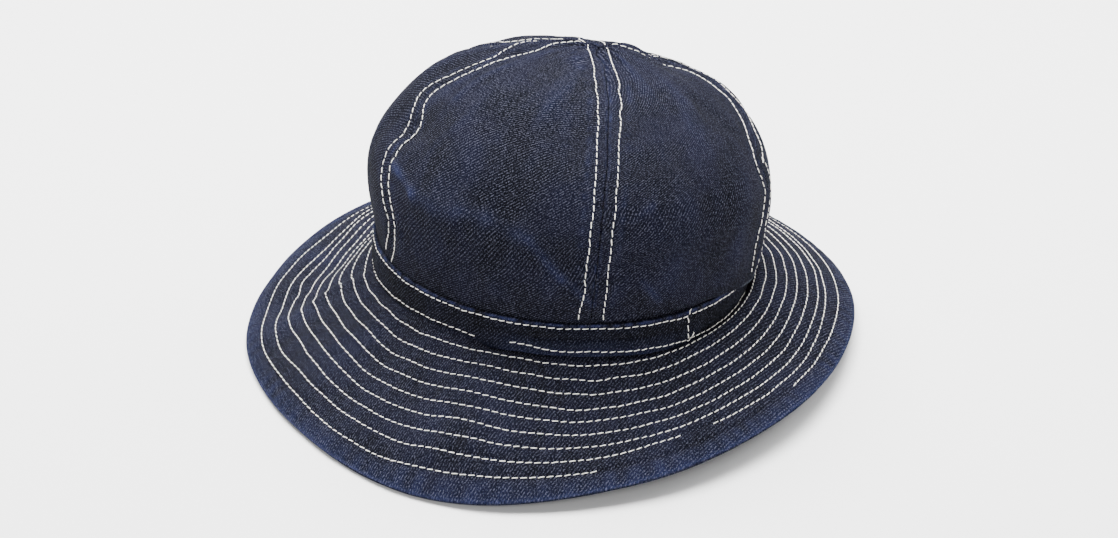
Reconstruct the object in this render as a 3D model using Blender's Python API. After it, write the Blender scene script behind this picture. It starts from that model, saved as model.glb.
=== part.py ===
"""A soft denim army hat, resting on its brim on a level surface.

Six crown panels meet at the top of the head, a cloth band covers their lower
edge, and a two-ply brim slopes from under the band to the surface. Metres, +Z
up, the front of the hat faces -Y, and the origin is under the middle of the
hat on the surface that it rests on.
"""

import math

import bpy
import numpy as np

# Head oval, measured over the band
HEAD_LENGTH = 0.200
HEAD_WIDTH = 0.178

# Crown, which leans to its +X side as it rises
CROWN_HEIGHT = 0.0875
CROWN_THICKNESS = 0.0012
CROWN_SWELL = 0.0095
CROWN_LEAN = 0.0050
PANEL_PUFF = 0.0022
SEAM_GAP = 0.0003

# The soft crown slumps over the band on one side: how far out and down, how
# high above the band it starts and fades, and where in degrees
SLUMP_OUT = 0.0025
SLUMP_DOWN = 0.0030
SLUMP_START = 0.0030
SLUMP_FADE = 0.0400
SLUMP_ANGLE = 70
SLUMP_HALF_WIDTH = 25

# Band
BAND_HEIGHT = 0.0145
BAND_THICKNESS = 0.0015
BAND_LAP_RISE = 0.0008
BAND_LAP_ANGLE = 29.0
BAND_LAP_LENGTH = 0.024

# Brim
BRIM_REACH = 0.065
BRIM_PLY = 0.0011
BRIM_EDGE_ROLL = 0.0024
BRIM_WAVE = 0.0040
BRIM_WAVE_SPREAD = 0.3
BRIM_FOOT = 0.0030

# How the soft hat sits: the band's height over the surface, and its tilt
BAND_LIFT = 0.033
TILT_BACK = 4.2
TILT_SIDE = 3.5

# The six seams meet at a point that leans this far off the middle of the crown
TOP_SHIFT_RIGHT = 4.5
TOP_SHIFT_BACK = 7.0

# Clearance between pieces that touch
FIT_GAP = 0.0003

# How round the crown is: below 1 it is boxier than a ball, across and upward
CROWN_ROUND_ACROSS = 0.64
CROWN_ROUND_UP = 0.84

# Shares of the way up the crown: where its swell ends, and where folds start
CROWN_SWELL_END = 0.625
CROWN_FOLD_START = 0.125

# The crown's curve from band to top, as a share of its height plus its radius
CROWN_ARC = 0.8

# How late on their way to the rim the edge's roll and the waves die away, how
# soon a shoulder does that rises or sinks, and how far from the band the crease
# reaches as a share of the way
BRIM_ROLL_POWER = 7
BRIM_WAVE_POWER = 4
BRIM_RISE_POWER = 1
BRIM_SINK_POWER = 2
BRIM_CREASE = 0.05

# Mesh density, and the steps in degrees and shares that read a slope
RING_STEPS = 96
BRIM_STEPS = 8
PANEL_COLUMNS = 8
PANEL_ROWS = 12
PANEL_FIRST_ROW = 0.03
PANEL_LAST_ROW = 0.95
SLOPE_TURN = 0.2
SLOPE_SHARE = 0.002
SHARP_EDGE = 50

# Name of the panel that starts at the seam, the seam's angle at the band in
# degrees from the front towards the hat's +X side, and its swing half way up
SEAMS = (
    ("crown_panel_front_right", -3.0, 0.0),
    ("crown_panel_side_right", 67.0, 16.0),
    ("crown_panel_back_right", 122.0, 0.0),
    ("crown_panel_back_left", 179.0, 0.0),
    ("crown_panel_side_left", 233.0, -3.0),
    ("crown_panel_front_left", 284.0, -10.0),
)

# Brim by section. Angle in degrees, reach as a share of BRIM_REACH, height of
# the rim as a share of BAND_LIFT, bow of the cloth and its shoulder by the band
# as shares of BRIM_REACH, and how far the band's foot sinks into the crease
# between them as a share of BAND_HEIGHT
BRIM_SECTIONS = (
    (-180, 0.91, -0.08, 0.02, 0.000, 0.00),
    (-150, 0.90, -0.07, 0.00, -0.050, 0.22),
    (-120, 0.875, -0.03, -0.05, -0.068, 0.30),
    (-90, 0.96, -0.02, 0.03, -0.068, 0.30),
    (-60, 0.98, -0.02, 0.01, -0.015, 0.07),
    (-30, 1.06, 0.00, -0.01, 0.003, 0.00),
    (0, 0.90, 0.20, -0.06, 0.010, 0.00),
    (30, 0.78, 0.33, -0.06, 0.065, 0.16),
    (60, 0.76, 0.25, -0.01, 0.112, 0.04),
    (90, 0.85, 0.10, 0.03, 0.100, 0.00),
    (120, 0.90, -0.02, 0.03, 0.050, 0.00),
    (150, 0.91, -0.07, 0.02, 0.010, 0.00),
)

# Soft waves across the brim. Angle and half width in degrees, rise as a share
# of BRIM_WAVE, and where along the cloth from band to rim the wave is highest
BRIM_WAVES = (
    (-117, 18, -4.70, 0.40),
    (-99, 5, -0.80, 0.60),
    (-93, 10, -1.00, 0.70),
    (-90, 5, 0.70, 0.75),
    (-70, 8, 0.70, 0.45),
    (-57, 9, -1.10, 0.50),
    (-32, 4, 0.45, 0.70),
    (-31, 10, 1.40, 0.45),
    (-22, 5, -0.30, 0.60),
    (-19, 9, 0.95, 0.45),
    (38, 9, -0.40, 0.70),
    (52, 9, -1.20, 0.60),
    (140, 10, 0.50, 0.70),
)

# Folds and dents of the crown. Angle in degrees, height as a share of the way
# up, turn of the fold from level in degrees, then half length, half width and
# rise as shares of CROWN_HEIGHT
CROWN_FOLDS = (
    (-80, 0.44, 25, 0.20, 0.09, -0.036),
    (-34, 0.22, -20, 0.45, 0.10, 0.014),
    (-45, 0.36, -15, 0.35, 0.10, -0.012),
    (55, 0.62, 60, 0.25, 0.10, -0.020),
    (28, 0.30, 70, 0.30, 0.12, -0.010),
    (150, 0.45, 40, 0.35, 0.14, -0.020),
    (-150, 0.55, -30, 0.35, 0.14, -0.018),
    (-127, 0.60, -30, 0.35, 0.20, 0.032),
    (-146, 0.74, 0, 0.28, 0.14, -0.020),
    (100, 0.50, 0, 0.30, 0.20, 0.020),
    (120, 0.78, 0, 0.32, 0.16, -0.046),
)

DENIM = (0.022, 0.030, 0.062, 1.0)
DENIM_BAND = (0.016, 0.020, 0.042, 1.0)


def clear_scene():
    """Remove every object, so that the scene holds only the hat."""
    for thing in list(bpy.data.objects):
        bpy.data.objects.remove(thing, do_unlink=True)


def round_table(table, column, angle):
    """Read a column of a table of sections as a smooth closed curve of the angle."""
    angles = np.array([row[0] for row in table], float)
    values = np.array([row[column] for row in table], float)
    angles = np.concatenate([angles - 360.0, angles, angles + 360.0])
    values = np.tile(values, 3)
    wrapped = (np.asarray(angle, float) + 180.0) % 360.0 - 180.0
    at = np.searchsorted(angles, wrapped, side="right") - 1
    span = angles[at + 1] - angles[at]
    t = (wrapped - angles[at]) / span
    start_slope = (values[at + 1] - values[at - 1]) / (angles[at + 1] - angles[at - 1]) * span
    end_slope = (values[at + 2] - values[at]) / (angles[at + 2] - angles[at]) * span
    return (
        (2 * t**3 - 3 * t**2 + 1) * values[at]
        + (t**3 - 2 * t**2 + t) * start_slope
        + (3 * t**2 - 2 * t**3) * values[at + 1]
        + (t**3 - t**2) * end_slope
    )


def turn_between(angle, other):
    """Give the signed difference of two angles in degrees."""
    return (np.asarray(angle, float) - other + 180.0) % 360.0 - 180.0


def tilt_matrix():
    """Give the turn of the soft crown and band: front up, left side up."""
    back, side = math.radians(TILT_BACK), math.radians(TILT_SIDE)
    about_x = np.array([
        [1.0, 0.0, 0.0],
        [0.0, math.cos(back), math.sin(back)],
        [0.0, -math.sin(back), math.cos(back)],
    ])
    about_y = np.array([
        [math.cos(side), 0.0, math.sin(side)],
        [0.0, 1.0, 0.0],
        [-math.sin(side), 0.0, math.cos(side)],
    ])
    return about_x @ about_y


def tilt(points):
    """Bring points from the band's own frame to the hat's frame."""
    return points @ tilt_matrix().T + np.array([0.0, 0.0, BAND_LIFT])


def head_oval(angle, inset):
    """Give points and outward normals on the head oval, level, moved in by inset."""
    turn = np.radians(angle)
    half_width, half_length = HEAD_WIDTH / 2, HEAD_LENGTH / 2
    normal = np.stack([np.sin(turn) / half_width, -np.cos(turn) / half_length, 0 * turn], -1)
    normal /= np.linalg.norm(normal, axis=-1, keepdims=True)
    point = np.stack([half_width * np.sin(turn), -half_length * np.cos(turn), 0 * turn], -1)
    return point - normal * np.asarray(inset, float)[..., None], normal


def foot_sink(angle):
    """Give how far the band's foot sinks into the crease of the brim."""
    return BAND_HEIGHT * round_table(BRIM_SECTIONS, 5, angle)


def band_point(angle, height):
    """Give a point of the band's outer face, with the step where its end laps over."""
    angle, height = np.broadcast_arrays(np.asarray(angle, float), np.asarray(height, float))
    lap_angle = math.degrees(BAND_LAP_LENGTH / (HEAD_LENGTH / 2))
    behind = turn_between(BAND_LAP_ANGLE, angle)
    lap = np.where(behind >= 0.0, np.clip(2.0 - behind / lap_angle, 0.0, 1.0), 0.0)
    point, _ = head_oval(angle, -BAND_LAP_RISE * lap)
    point[..., 2] += height - foot_sink(angle) * (1 - height / BAND_HEIGHT)
    return tilt(point)


def brim_point(angle, along):
    """Give a point of the brim's top face, along being 0 at the band and 1 at the rim."""
    angle, along = np.broadcast_arrays(np.asarray(angle, float), np.asarray(along, float))
    start, normal = head_oval(angle, 0.0)
    start = tilt(start)
    out = normal @ tilt_matrix().T
    out[..., 2] = 0.0
    out /= np.linalg.norm(out, axis=-1, keepdims=True)
    reach = BRIM_REACH * round_table(BRIM_SECTIONS, 1, angle)
    rim = 2 * BRIM_PLY + FIT_GAP + BAND_LIFT * round_table(BRIM_SECTIONS, 2, angle)
    bow = BRIM_REACH * round_table(BRIM_SECTIONS, 3, angle)
    top = start[..., 2] - 2 * FIT_GAP
    height = top + (rim - top) * along
    height += bow * 4 * along * (1 - along)
    crease = np.exp(-((along / BRIM_CREASE) ** 2))
    shoulder = BRIM_REACH * round_table(BRIM_SECTIONS, 4, angle)
    shoulder *= (1 - along) ** np.where(shoulder < 0, BRIM_SINK_POWER, BRIM_RISE_POWER)
    height += shoulder * (1 - crease) - foot_sink(angle) * crease
    height += BRIM_EDGE_ROLL * along * (1 - along**BRIM_ROLL_POWER)
    for wave_angle, half_width, rise, peak in BRIM_WAVES:
        across = np.exp(-(turn_between(angle, wave_angle) / half_width) ** 2)
        onward = np.exp(-(((along - peak) / BRIM_WAVE_SPREAD) ** 2))
        onward *= along * (1 - along**BRIM_WAVE_POWER)
        height += BRIM_WAVE * rise * across * onward
    point = start + out * (reach * along)[..., None]
    point[..., 2] = height
    return point


def crown_rise(angle, up):
    """Give how far the folds, dents and puffed panels lift the cloth off the plain crown."""
    rise = np.zeros(np.broadcast(angle, up).shape)
    mean_radius = (HEAD_LENGTH + HEAD_WIDTH) / 4
    for fold_angle, fold_up, turn, half_length, half_width, share in CROWN_FOLDS:
        radius = mean_radius * np.cos(np.clip(up, 0, 1) * math.pi / 2)
        level = np.radians(turn_between(angle, fold_angle)) * radius
        climb = (up - fold_up) * (CROWN_HEIGHT + mean_radius) * CROWN_ARC
        lean = math.radians(turn)
        length = level * math.cos(lean) + climb * math.sin(lean)
        width = climb * math.cos(lean) - level * math.sin(lean)
        spread = (length / half_length) ** 2 + (width / half_width) ** 2
        rise += share * CROWN_HEIGHT * np.exp(-spread / CROWN_HEIGHT**2)
    return rise * np.clip(up / CROWN_FOLD_START, 0, 1)


def crown_point(angle, up, inset):
    """Give a point of the crown, up being -1 at the band's foot, 0 at its top, 1 at the summit."""
    angle, up = np.broadcast_arrays(np.asarray(angle, float), np.asarray(up, float))
    turn, climb = np.radians(angle), np.clip(up, 0, 1) * math.pi / 2
    shift = np.sin(climb) ** 2
    way = np.stack([
        np.cos(climb) * np.sin(turn) + shift * math.sin(math.radians(TOP_SHIFT_RIGHT)),
        -np.cos(climb) * np.cos(turn) + shift * math.sin(math.radians(TOP_SHIFT_BACK)),
        np.sin(climb),
    ], -1)
    way /= np.linalg.norm(way, axis=-1, keepdims=True)
    level = np.hypot(way[..., 0], way[..., 1])
    steep = np.clip(way[..., 2], 0, 1)
    swell_share = np.arcsin(steep) / (math.pi / 2) / CROWN_SWELL_END
    swell = CROWN_SWELL * np.sin(math.pi * np.minimum(swell_share, 1))
    reach = level**CROWN_ROUND_ACROSS
    unit = way[..., :2] / np.maximum(level, 1e-9)[..., None]
    half = np.array([HEAD_WIDTH / 2 - inset, HEAD_LENGTH / 2 - inset])
    flat = unit * reach[..., None] * (half + swell[..., None])
    flat[..., 0] += CROWN_LEAN * np.sin(climb)
    height = BAND_HEIGHT * (1 + np.minimum(up, 0))
    height += (CROWN_HEIGHT - inset) * steep**CROWN_ROUND_UP
    above = np.maximum(height - BAND_HEIGHT, 0)
    slump = np.exp(-((turn_between(angle, SLUMP_ANGLE) / SLUMP_HALF_WIDTH) ** 2))
    slump *= np.exp(-((above / SLUMP_FADE) ** 2)) - np.exp(-((above / SLUMP_START) ** 2))
    flat += unit * (SLUMP_OUT * slump)[..., None]
    height -= SLUMP_DOWN * slump
    return tilt(np.concatenate([flat, height[..., None]], -1))


def seam_angle(index, up):
    """Give the angle of a seam at a height on the crown."""
    _, start, swing = SEAMS[index % len(SEAMS)]
    turns = 360.0 * (index // len(SEAMS))
    return start + turns + swing * np.sin(np.clip(up, 0, 1) * math.pi)


def outward(surface, angle, along):
    """Give unit normals of a surface: out of the crown, and down under the brim."""
    across = surface(angle + SLOPE_TURN, along) - surface(angle - SLOPE_TURN, along)
    onward = surface(angle, along + SLOPE_SHARE) - surface(angle, along - SLOPE_SHARE)
    normal = np.cross(across, onward)
    return normal / np.linalg.norm(normal, axis=-1, keepdims=True)


def settle(points, lowest):
    """Lay flat what would go below a height, as cloth does where it rests."""
    points = np.array(points)
    points[..., 2] = np.maximum(points[..., 2], lowest)
    return points


def grid_shell(outer, inner, closed):
    """Close two grids of points into the two sides of a shell with a foot edge.

    The outer grid is the side that the surface's normals leave by. A closed
    shell runs all the way round and gets its second edge here too. Both sides
    are cut along the same diagonals, so that stacked plies stay parallel.
    """
    columns, rows = outer.shape[:2]
    points = np.concatenate([outer.reshape(-1, 3), inner.reshape(-1, 3)])
    last = rows - 1

    def at(side, column, row):
        return side * columns * rows + (column % columns) * rows + row

    faces = []
    for column in range(columns if closed else columns - 1):
        after = column + 1
        for row in range(last):
            start, end = (column, row), (after, row + 1)
            for corners in ((start, (after, row), end), (start, end, (column, row + 1))):
                faces.append([at(0, *corner) for corner in corners])
                faces.append([at(1, *corner) for corner in reversed(corners)])
        faces.append([at(0, column, 0), at(1, column, 0), at(1, after, 0), at(0, after, 0)])
        if closed:
            foot = [at(0, column, last), at(0, after, last), at(1, after, last), at(1, column, last)]
            faces.append(foot)
    return points, faces, at


def panel_shell(outer, inner, tips):
    """Close two grids of a crown panel into a shell that ends in a tip at the top."""
    columns, rows = outer.shape[:2]
    points, faces, at = grid_shell(outer, inner, closed=False)
    tip_out, tip_in = len(points), len(points) + 1
    last, side = rows - 1, columns - 1
    for column in range(side):
        faces.append([at(0, column, last), at(0, column + 1, last), tip_out])
        faces.append([at(1, column, last), tip_in, at(1, column + 1, last)])
    for row in range(last):
        faces.append([at(0, 0, row), at(0, 0, row + 1), at(1, 0, row + 1), at(1, 0, row)])
        faces.append([at(0, side, row), at(1, side, row), at(1, side, row + 1), at(0, side, row + 1)])
    faces.append([at(0, 0, last), tip_out, tip_in, at(1, 0, last)])
    faces.append([at(0, side, last), at(1, side, last), tip_in, tip_out])
    return np.concatenate([points, tips]), faces


def brim_plies():
    """Build the brim's two plies, one under the other, laid flat where they rest."""
    angle = np.linspace(0.0, 360.0, RING_STEPS, endpoint=False)[:, None]
    rows = np.linspace(0.0, 1.0 - BRIM_FOOT / BRIM_REACH, BRIM_STEPS)
    along = np.append(rows, 1.0)[None, :]
    top = brim_point(angle, along)
    down = outward(brim_point, angle, along)
    plies = {}
    for name, depth in (("brim_upper_ply", 0.0), ("brim_lower_ply", BRIM_PLY + FIT_GAP)):
        lowest = BRIM_PLY + FIT_GAP - depth
        face = settle(top + down * depth, lowest + BRIM_PLY)
        back = settle(top + down * (depth + BRIM_PLY), lowest)
        points, faces, _ = grid_shell(back, face, closed=True)
        plies[name] = (points, faces)
    return plies


def band_strip():
    """Build the band as a closed strip whose end laps over its start."""
    lap = BAND_LAP_ANGLE
    angle = np.linspace(lap, lap + 360.0, RING_STEPS, endpoint=False)[:, None]
    height = np.array([0.0, BAND_HEIGHT / 2, BAND_HEIGHT])[None, :]
    outer = band_point(angle, height)
    inner, _ = head_oval(angle + 0 * height, BAND_THICKNESS)
    inner[..., 2] += height - foot_sink(angle) * (1 - height / BAND_HEIGHT)
    points, faces, _ = grid_shell(outer, tilt(inner), closed=True)
    return {"hat_band": (points, faces)}


def crown_panel(index):
    """Build one panel of the crown between its two seams."""
    inset = BAND_THICKNESS + FIT_GAP

    def plain(angle, up):
        return crown_point(angle, up, inset)

    def cloth(angle, up, share):
        base = plain(angle, up)
        puff = PANEL_PUFF * np.sin(math.pi * share) * np.sin(np.clip(up, 0, 1) * math.pi)
        rise = puff + crown_rise(angle, up)
        return base + outward(plain, angle, up) * rise[..., None]

    above = np.linspace(PANEL_FIRST_ROW, PANEL_LAST_ROW, PANEL_ROWS)
    up = np.concatenate([[-1.0, 0.0], above])[None, :]
    share = np.linspace(0.0, 1.0, PANEL_COLUMNS + 1)[:, None]
    start, end = seam_angle(index, up), seam_angle(index + 1, up)
    degree = np.linalg.norm(plain(start + 0.5, up) - plain(start - 0.5, up), axis=-1)
    margin = SEAM_GAP / 2 / degree
    angle = start + margin + (end - start - 2 * margin) * share
    outer = cloth(angle, up, share)
    normal = outward(plain, angle, up)
    inner = outer - normal * CROWN_THICKNESS
    middle = (seam_angle(index, 1.0) + seam_angle(index + 1, 1.0)) / 2
    summit = plain(middle, 1.0)
    beside = outer[PANEL_COLUMNS // 2, -1] - summit
    tip = summit + beside / np.linalg.norm(beside) * SEAM_GAP
    tips = np.array([tip, tip - normal[:, -1].mean(axis=0) * CROWN_THICKNESS])
    return {SEAMS[index][0]: panel_shell(outer, inner, tips)}


def hat_pieces():
    """Build every piece, and move the hat so that its box stands on the origin."""
    pieces = {}
    for index in range(len(SEAMS)):
        pieces.update(crown_panel(index))
    pieces.update(band_strip())
    pieces.update(brim_plies())
    everything = np.concatenate([points for points, _ in pieces.values()])
    low, high = everything.min(axis=0), everything.max(axis=0)
    middle = np.array([(low[0] + high[0]) / 2, (low[1] + high[1]) / 2, low[2]])
    return {name: (points - middle, faces) for name, (points, faces) in pieces.items()}


def cloth_material(name, color):
    """Make a plain denim colour for a piece."""
    material = bpy.data.materials.new(name)
    material.use_nodes = True
    shader = material.node_tree.nodes["Principled BSDF"]
    shader.inputs["Base Color"].default_value = color
    shader.inputs["Roughness"].default_value = 0.85
    shader.inputs["Metallic"].default_value = 0.0
    return material


def add_piece(name, points, faces, material):
    """Add one closed solid to the scene."""
    mesh = bpy.data.meshes.new(name)
    mesh.from_pydata([tuple(point) for point in points], [], faces)
    mesh.materials.append(material)
    mesh.shade_smooth()
    mesh.set_sharp_from_angle(angle=math.radians(SHARP_EDGE))
    mesh.update()
    thing = bpy.data.objects.new(name, mesh)
    bpy.context.scene.collection.objects.link(thing)
    return thing


def build_hat():
    """Build the whole hat."""
    clear_scene()
    denim = cloth_material("denim", DENIM)
    band = cloth_material("denim_band", DENIM_BAND)
    for name, (points, faces) in hat_pieces().items():
        add_piece(name, points, faces, band if name == "hat_band" else denim)


build_hat()
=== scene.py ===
"""The looks of a soft denim army hat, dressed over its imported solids.

Each piece of cloth is a fine mesh over the same form as its solid, with the
sewing, folds and worn places of the real cloth. Metres, +Z up, the front of
the hat faces -Y, and the surface that it rests on is at height 0. Angles go
round the head in degrees, from the front towards +X. A share of the way runs
from 0 at the band to 1 at the summit of the crown or at the rim of the brim.
"""

import logging
import math
from collections.abc import Callable, Sequence
from dataclasses import dataclass
from enum import Enum
from typing import ClassVar

import bpy
import numpy as np
from bpy.types import Material, Node, NodeSocket, NodeTree, Object
from mathutils import Matrix, Vector
from mathutils.bvhtree import BVHTree


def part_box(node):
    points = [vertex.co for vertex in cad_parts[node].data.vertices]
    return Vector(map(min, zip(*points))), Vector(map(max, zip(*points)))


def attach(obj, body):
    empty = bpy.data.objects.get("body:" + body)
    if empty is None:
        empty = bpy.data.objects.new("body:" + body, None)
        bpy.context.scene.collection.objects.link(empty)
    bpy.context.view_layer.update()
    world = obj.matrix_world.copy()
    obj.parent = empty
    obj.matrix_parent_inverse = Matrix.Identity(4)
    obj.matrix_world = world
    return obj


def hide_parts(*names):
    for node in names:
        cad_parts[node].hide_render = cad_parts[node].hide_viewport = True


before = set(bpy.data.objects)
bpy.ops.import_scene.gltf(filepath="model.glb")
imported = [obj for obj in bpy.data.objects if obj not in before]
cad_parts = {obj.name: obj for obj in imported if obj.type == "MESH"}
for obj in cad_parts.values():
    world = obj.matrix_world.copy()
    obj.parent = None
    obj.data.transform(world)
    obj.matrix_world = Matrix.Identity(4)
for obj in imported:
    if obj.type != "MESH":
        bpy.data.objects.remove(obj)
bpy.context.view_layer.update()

LOG = logging.getLogger("denim_hat")
MM = 0.001
FULL_TURN = 360.0
# Steps in degrees and in share of the way for measuring which way a face looks.
NEAR_ANGLE, NEAR_SHARE = 0.2, 0.002
# Waves that Blender's wave texture draws in one unit at a scale of 1.
WAVES_PER_UNIT = 20 / (2 * math.pi)
TINY = 1e-12

Array = np.ndarray
Pair = tuple[Array, Array]
Table = tuple[tuple[float, ...], ...]


class Slot(Enum):
    """The record's material slots."""

    DENIM = "denim"
    BAND = "denim_band"


class Side(Enum):
    """Which way a run of sewing shows: on the face of the cloth or under it."""

    FACE = 1.0
    UNDER = -1.0


def linear(hex_colour: str) -> tuple[float, float, float, float]:
    """Turn an sRGB hex colour into linear light.

    Args:
        hex_colour: The colour as "#rrggbb".

    Returns:
        Linear red, green, blue and full opacity.
    """
    parts = [int(hex_colour[start : start + 2], 16) / 255 for start in (1, 3, 5)]
    light = [part / 12.92 if part <= 0.04045 else ((part + 0.055) / 1.055) ** 2.4 for part in parts]
    return (light[0], light[1], light[2], 1.0)


def new_material(name: str, settings: dict[str, float | tuple]) -> tuple[Material, NodeTree, Node]:
    """Start a material and set its shader's own sockets.

    Args:
        name: The material's name.
        settings: Values of the shader by socket name.

    Returns:
        The material, its node tree and its shader.
    """
    material = bpy.data.materials.new(name)
    material.use_nodes = True
    shader = material.node_tree.nodes["Principled BSDF"]
    for socket, value in settings.items():
        shader.inputs[socket].default_value = value
    return material, material.node_tree, shader


def add_node(
    tree: NodeTree,
    kind: str,
    settings: dict | None = None,
    links: dict | None = None,
    output: str | int = 0,
) -> NodeSocket:
    """Add a node to a material, set it up and link what goes into it.

    Args:
        tree: The material's node tree.
        kind: Blender's name for the type of shader node, such as "Math".
        settings: Values by socket name, socket number or node property.
        links: Outputs to link, by the name or number of the socket they go to.
        output: Name or number of the output that is used on.

    Returns:
        That output.
    """
    node = tree.nodes.new("ShaderNode" + kind)
    for name, value in (settings or {}).items():
        if isinstance(name, int) or name in node.inputs:
            node.inputs[name].default_value = value
        else:
            setattr(node, name, value)
    for name, source in (links or {}).items():
        tree.links.new(source, node.inputs[name])
    return node.outputs[output]


def add_object(name: str, data: bpy.types.ID) -> Object:
    """Put a mesh, lamp or camera into the scene as an object."""
    thing = bpy.data.objects.new(name, data)
    bpy.context.scene.collection.objects.link(thing)
    return thing


def new_piece(
    name: str, points: Array, faces: list, places: Array, materials: Sequence[Material]
) -> Object:
    """Make a piece's object, smooth all over.

    Args:
        name: The piece's name.
        points: Its points.
        faces: The points of each face.
        places: Where each point lies on its flat pattern.
        materials: Its finishes.

    Returns:
        The object.
    """
    mesh = bpy.data.meshes.new(name)
    mesh.from_pydata(points.tolist(), [], faces)
    corners = np.empty(len(mesh.loops), np.int32)
    mesh.loops.foreach_get("vertex_index", corners)
    layer = mesh.uv_layers.new(name="cloth")
    layer.data.foreach_set("uv", places[corners].astype(np.float32).ravel())
    for material in materials:
        mesh.materials.append(material)
    mesh.shade_smooth()
    return add_object(name, mesh)


def smooth_curve(places: Array, values: Array, at: Array) -> Array:
    """Read a table as a smooth curve through its points.

    Args:
        places: Where the points are, rising.
        values: The curve's value at each.
        at: Where to read it, within the places.

    Returns:
        The values there.
    """
    before = np.clip(np.searchsorted(places, at, side="right") - 1, 0, len(places) - 2)
    slope = np.gradient(values, places)
    span = places[before + 1] - places[before]
    t = (at - places[before]) / span
    return (
        (2 * t**3 - 3 * t**2 + 1) * values[before]
        + (t**3 - 2 * t**2 + t) * slope[before] * span
        + (3 * t**2 - 2 * t**3) * values[before + 1]
        + (t**3 - t**2) * slope[before + 1] * span
    )


def closed_curve(table: Table, angle: Array, column: int = 1) -> Array:
    """Read a column of a table that goes once round the hat as a closed smooth curve.

    Args:
        table: Rows that each start with an angle in degrees, rising.
        angle: Angles in degrees.
        column: Which column.

    Returns:
        The values there.
    """
    rows = np.array(table, float)
    places = np.concatenate([rows[:, 0] + turns * FULL_TURN for turns in (-1, 0, 1)])
    return smooth_curve(places, np.tile(rows[:, column], 3), turn_between(angle, 0.0))


def together(*values: Array | float) -> list[Array]:
    """Give values as arrays of one shape."""
    return np.broadcast_arrays(*(np.asarray(value, float) for value in values))


def turn_between(angle: Array, other: float) -> Array:
    """Give the signed difference of angles in degrees."""
    return (np.asarray(angle, float) - other + FULL_TURN / 2) % FULL_TURN - FULL_TURN / 2


def bump(distance: Array, half_width: float) -> Array:
    """Give a smooth bump, 1 in its middle and fading over its half width."""
    return np.exp(-((distance / half_width) ** 2))


def step_down(distance: Array, edge: float, softness: float) -> Array:
    """Give a soft step, 1 before an edge and 0 beyond it."""
    return 1 / (1 + np.exp((distance - edge) / softness))


def uneven(share: tuple[float, float], ripples: Array) -> Array:
    """Give an uneven share from its mean and how far it varies, held within 0 and 1."""
    return np.clip(share[0] + share[1] * ripples, 0, 1)


def evened(values: Array, half: int) -> Array:
    """Even out columns of values over a window.

    Args:
        values: The values, in order, with a column for each axis.
        half: How many rows the window reaches to each side.

    Returns:
        As many rows.
    """
    window = np.hanning(2 * half + 3)[1:-1]
    padded = np.pad(values, ((half, half), (0, 0)), "reflect", reflect_type="odd")
    columns = [np.convolve(column, window / window.sum(), "valid") for column in padded.T]
    return np.stack(columns, -1)


def unit(vectors: Array) -> Array:
    """Scale vectors to a length of 1."""
    return vectors / np.maximum(np.linalg.norm(vectors, axis=-1, keepdims=True), TINY)


def normals_of(face: Callable[[Array, Array], Array], angle: Array, share: Array) -> Array:
    """Measure which way a face looks.

    Args:
        face: Gives the face's points from angles and shares of the way.
        angle: Angles in degrees.
        share: Shares of the way.

    Returns:
        Normals of length 1, right-handed from the angle to the share.
    """
    across = face(angle + NEAR_ANGLE, share) - face(angle - NEAR_ANGLE, share)
    onward = face(angle, share + NEAR_SHARE) - face(angle, share - NEAR_SHARE)
    return unit(np.cross(across, onward))


@dataclass(frozen=True)
class Mark:
    """What sewing or rubbing leaves along a line: a groove, a ridge or a worn strip.

    Attributes:
        size: How much of it there is: metres of lift, or a share of wear.
        half_width: How far it reaches to each side, in metres.
        off: How far its middle lies off the line, in metres.
    """

    size: float
    half_width: float
    off: float = 0.0

    def at(self, distance: Array) -> Array:
        """Give how much of the mark there is at a distance from its line."""
        return self.size * bump(distance - self.off, self.half_width)


@dataclass(frozen=True)
class Ripples:
    """Small uneven waves of a cloth, the same in each run.

    Attributes:
        seed: Which waves these are.
        turns: Fewest and most waves round the whole hat.
        lean: How far the waves may lean, in radians for each metre onward.
        count: How many waves are added up.
    """

    seed: int
    turns: tuple[int, int]
    lean: float
    count: int

    def height(self, angle: Array, onward: Array) -> Array:
        """Add the waves up.

        Args:
            angle: Angles round the hat in degrees.
            onward: Metres across the waves' run.

        Returns:
            The height, mostly within -1 and 1.
        """
        draw = np.random.default_rng(self.seed)
        total = np.zeros(np.broadcast(angle, onward).shape)
        for _ in range(self.count):
            turns = draw.integers(self.turns[0], self.turns[1] + 1)
            lean = draw.uniform(-self.lean, self.lean)
            phase = draw.uniform(0.0, 2 * math.pi)
            total += np.cos(turns * np.radians(angle) + lean * onward + phase)
        return total / math.sqrt(2 * self.count)


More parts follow.
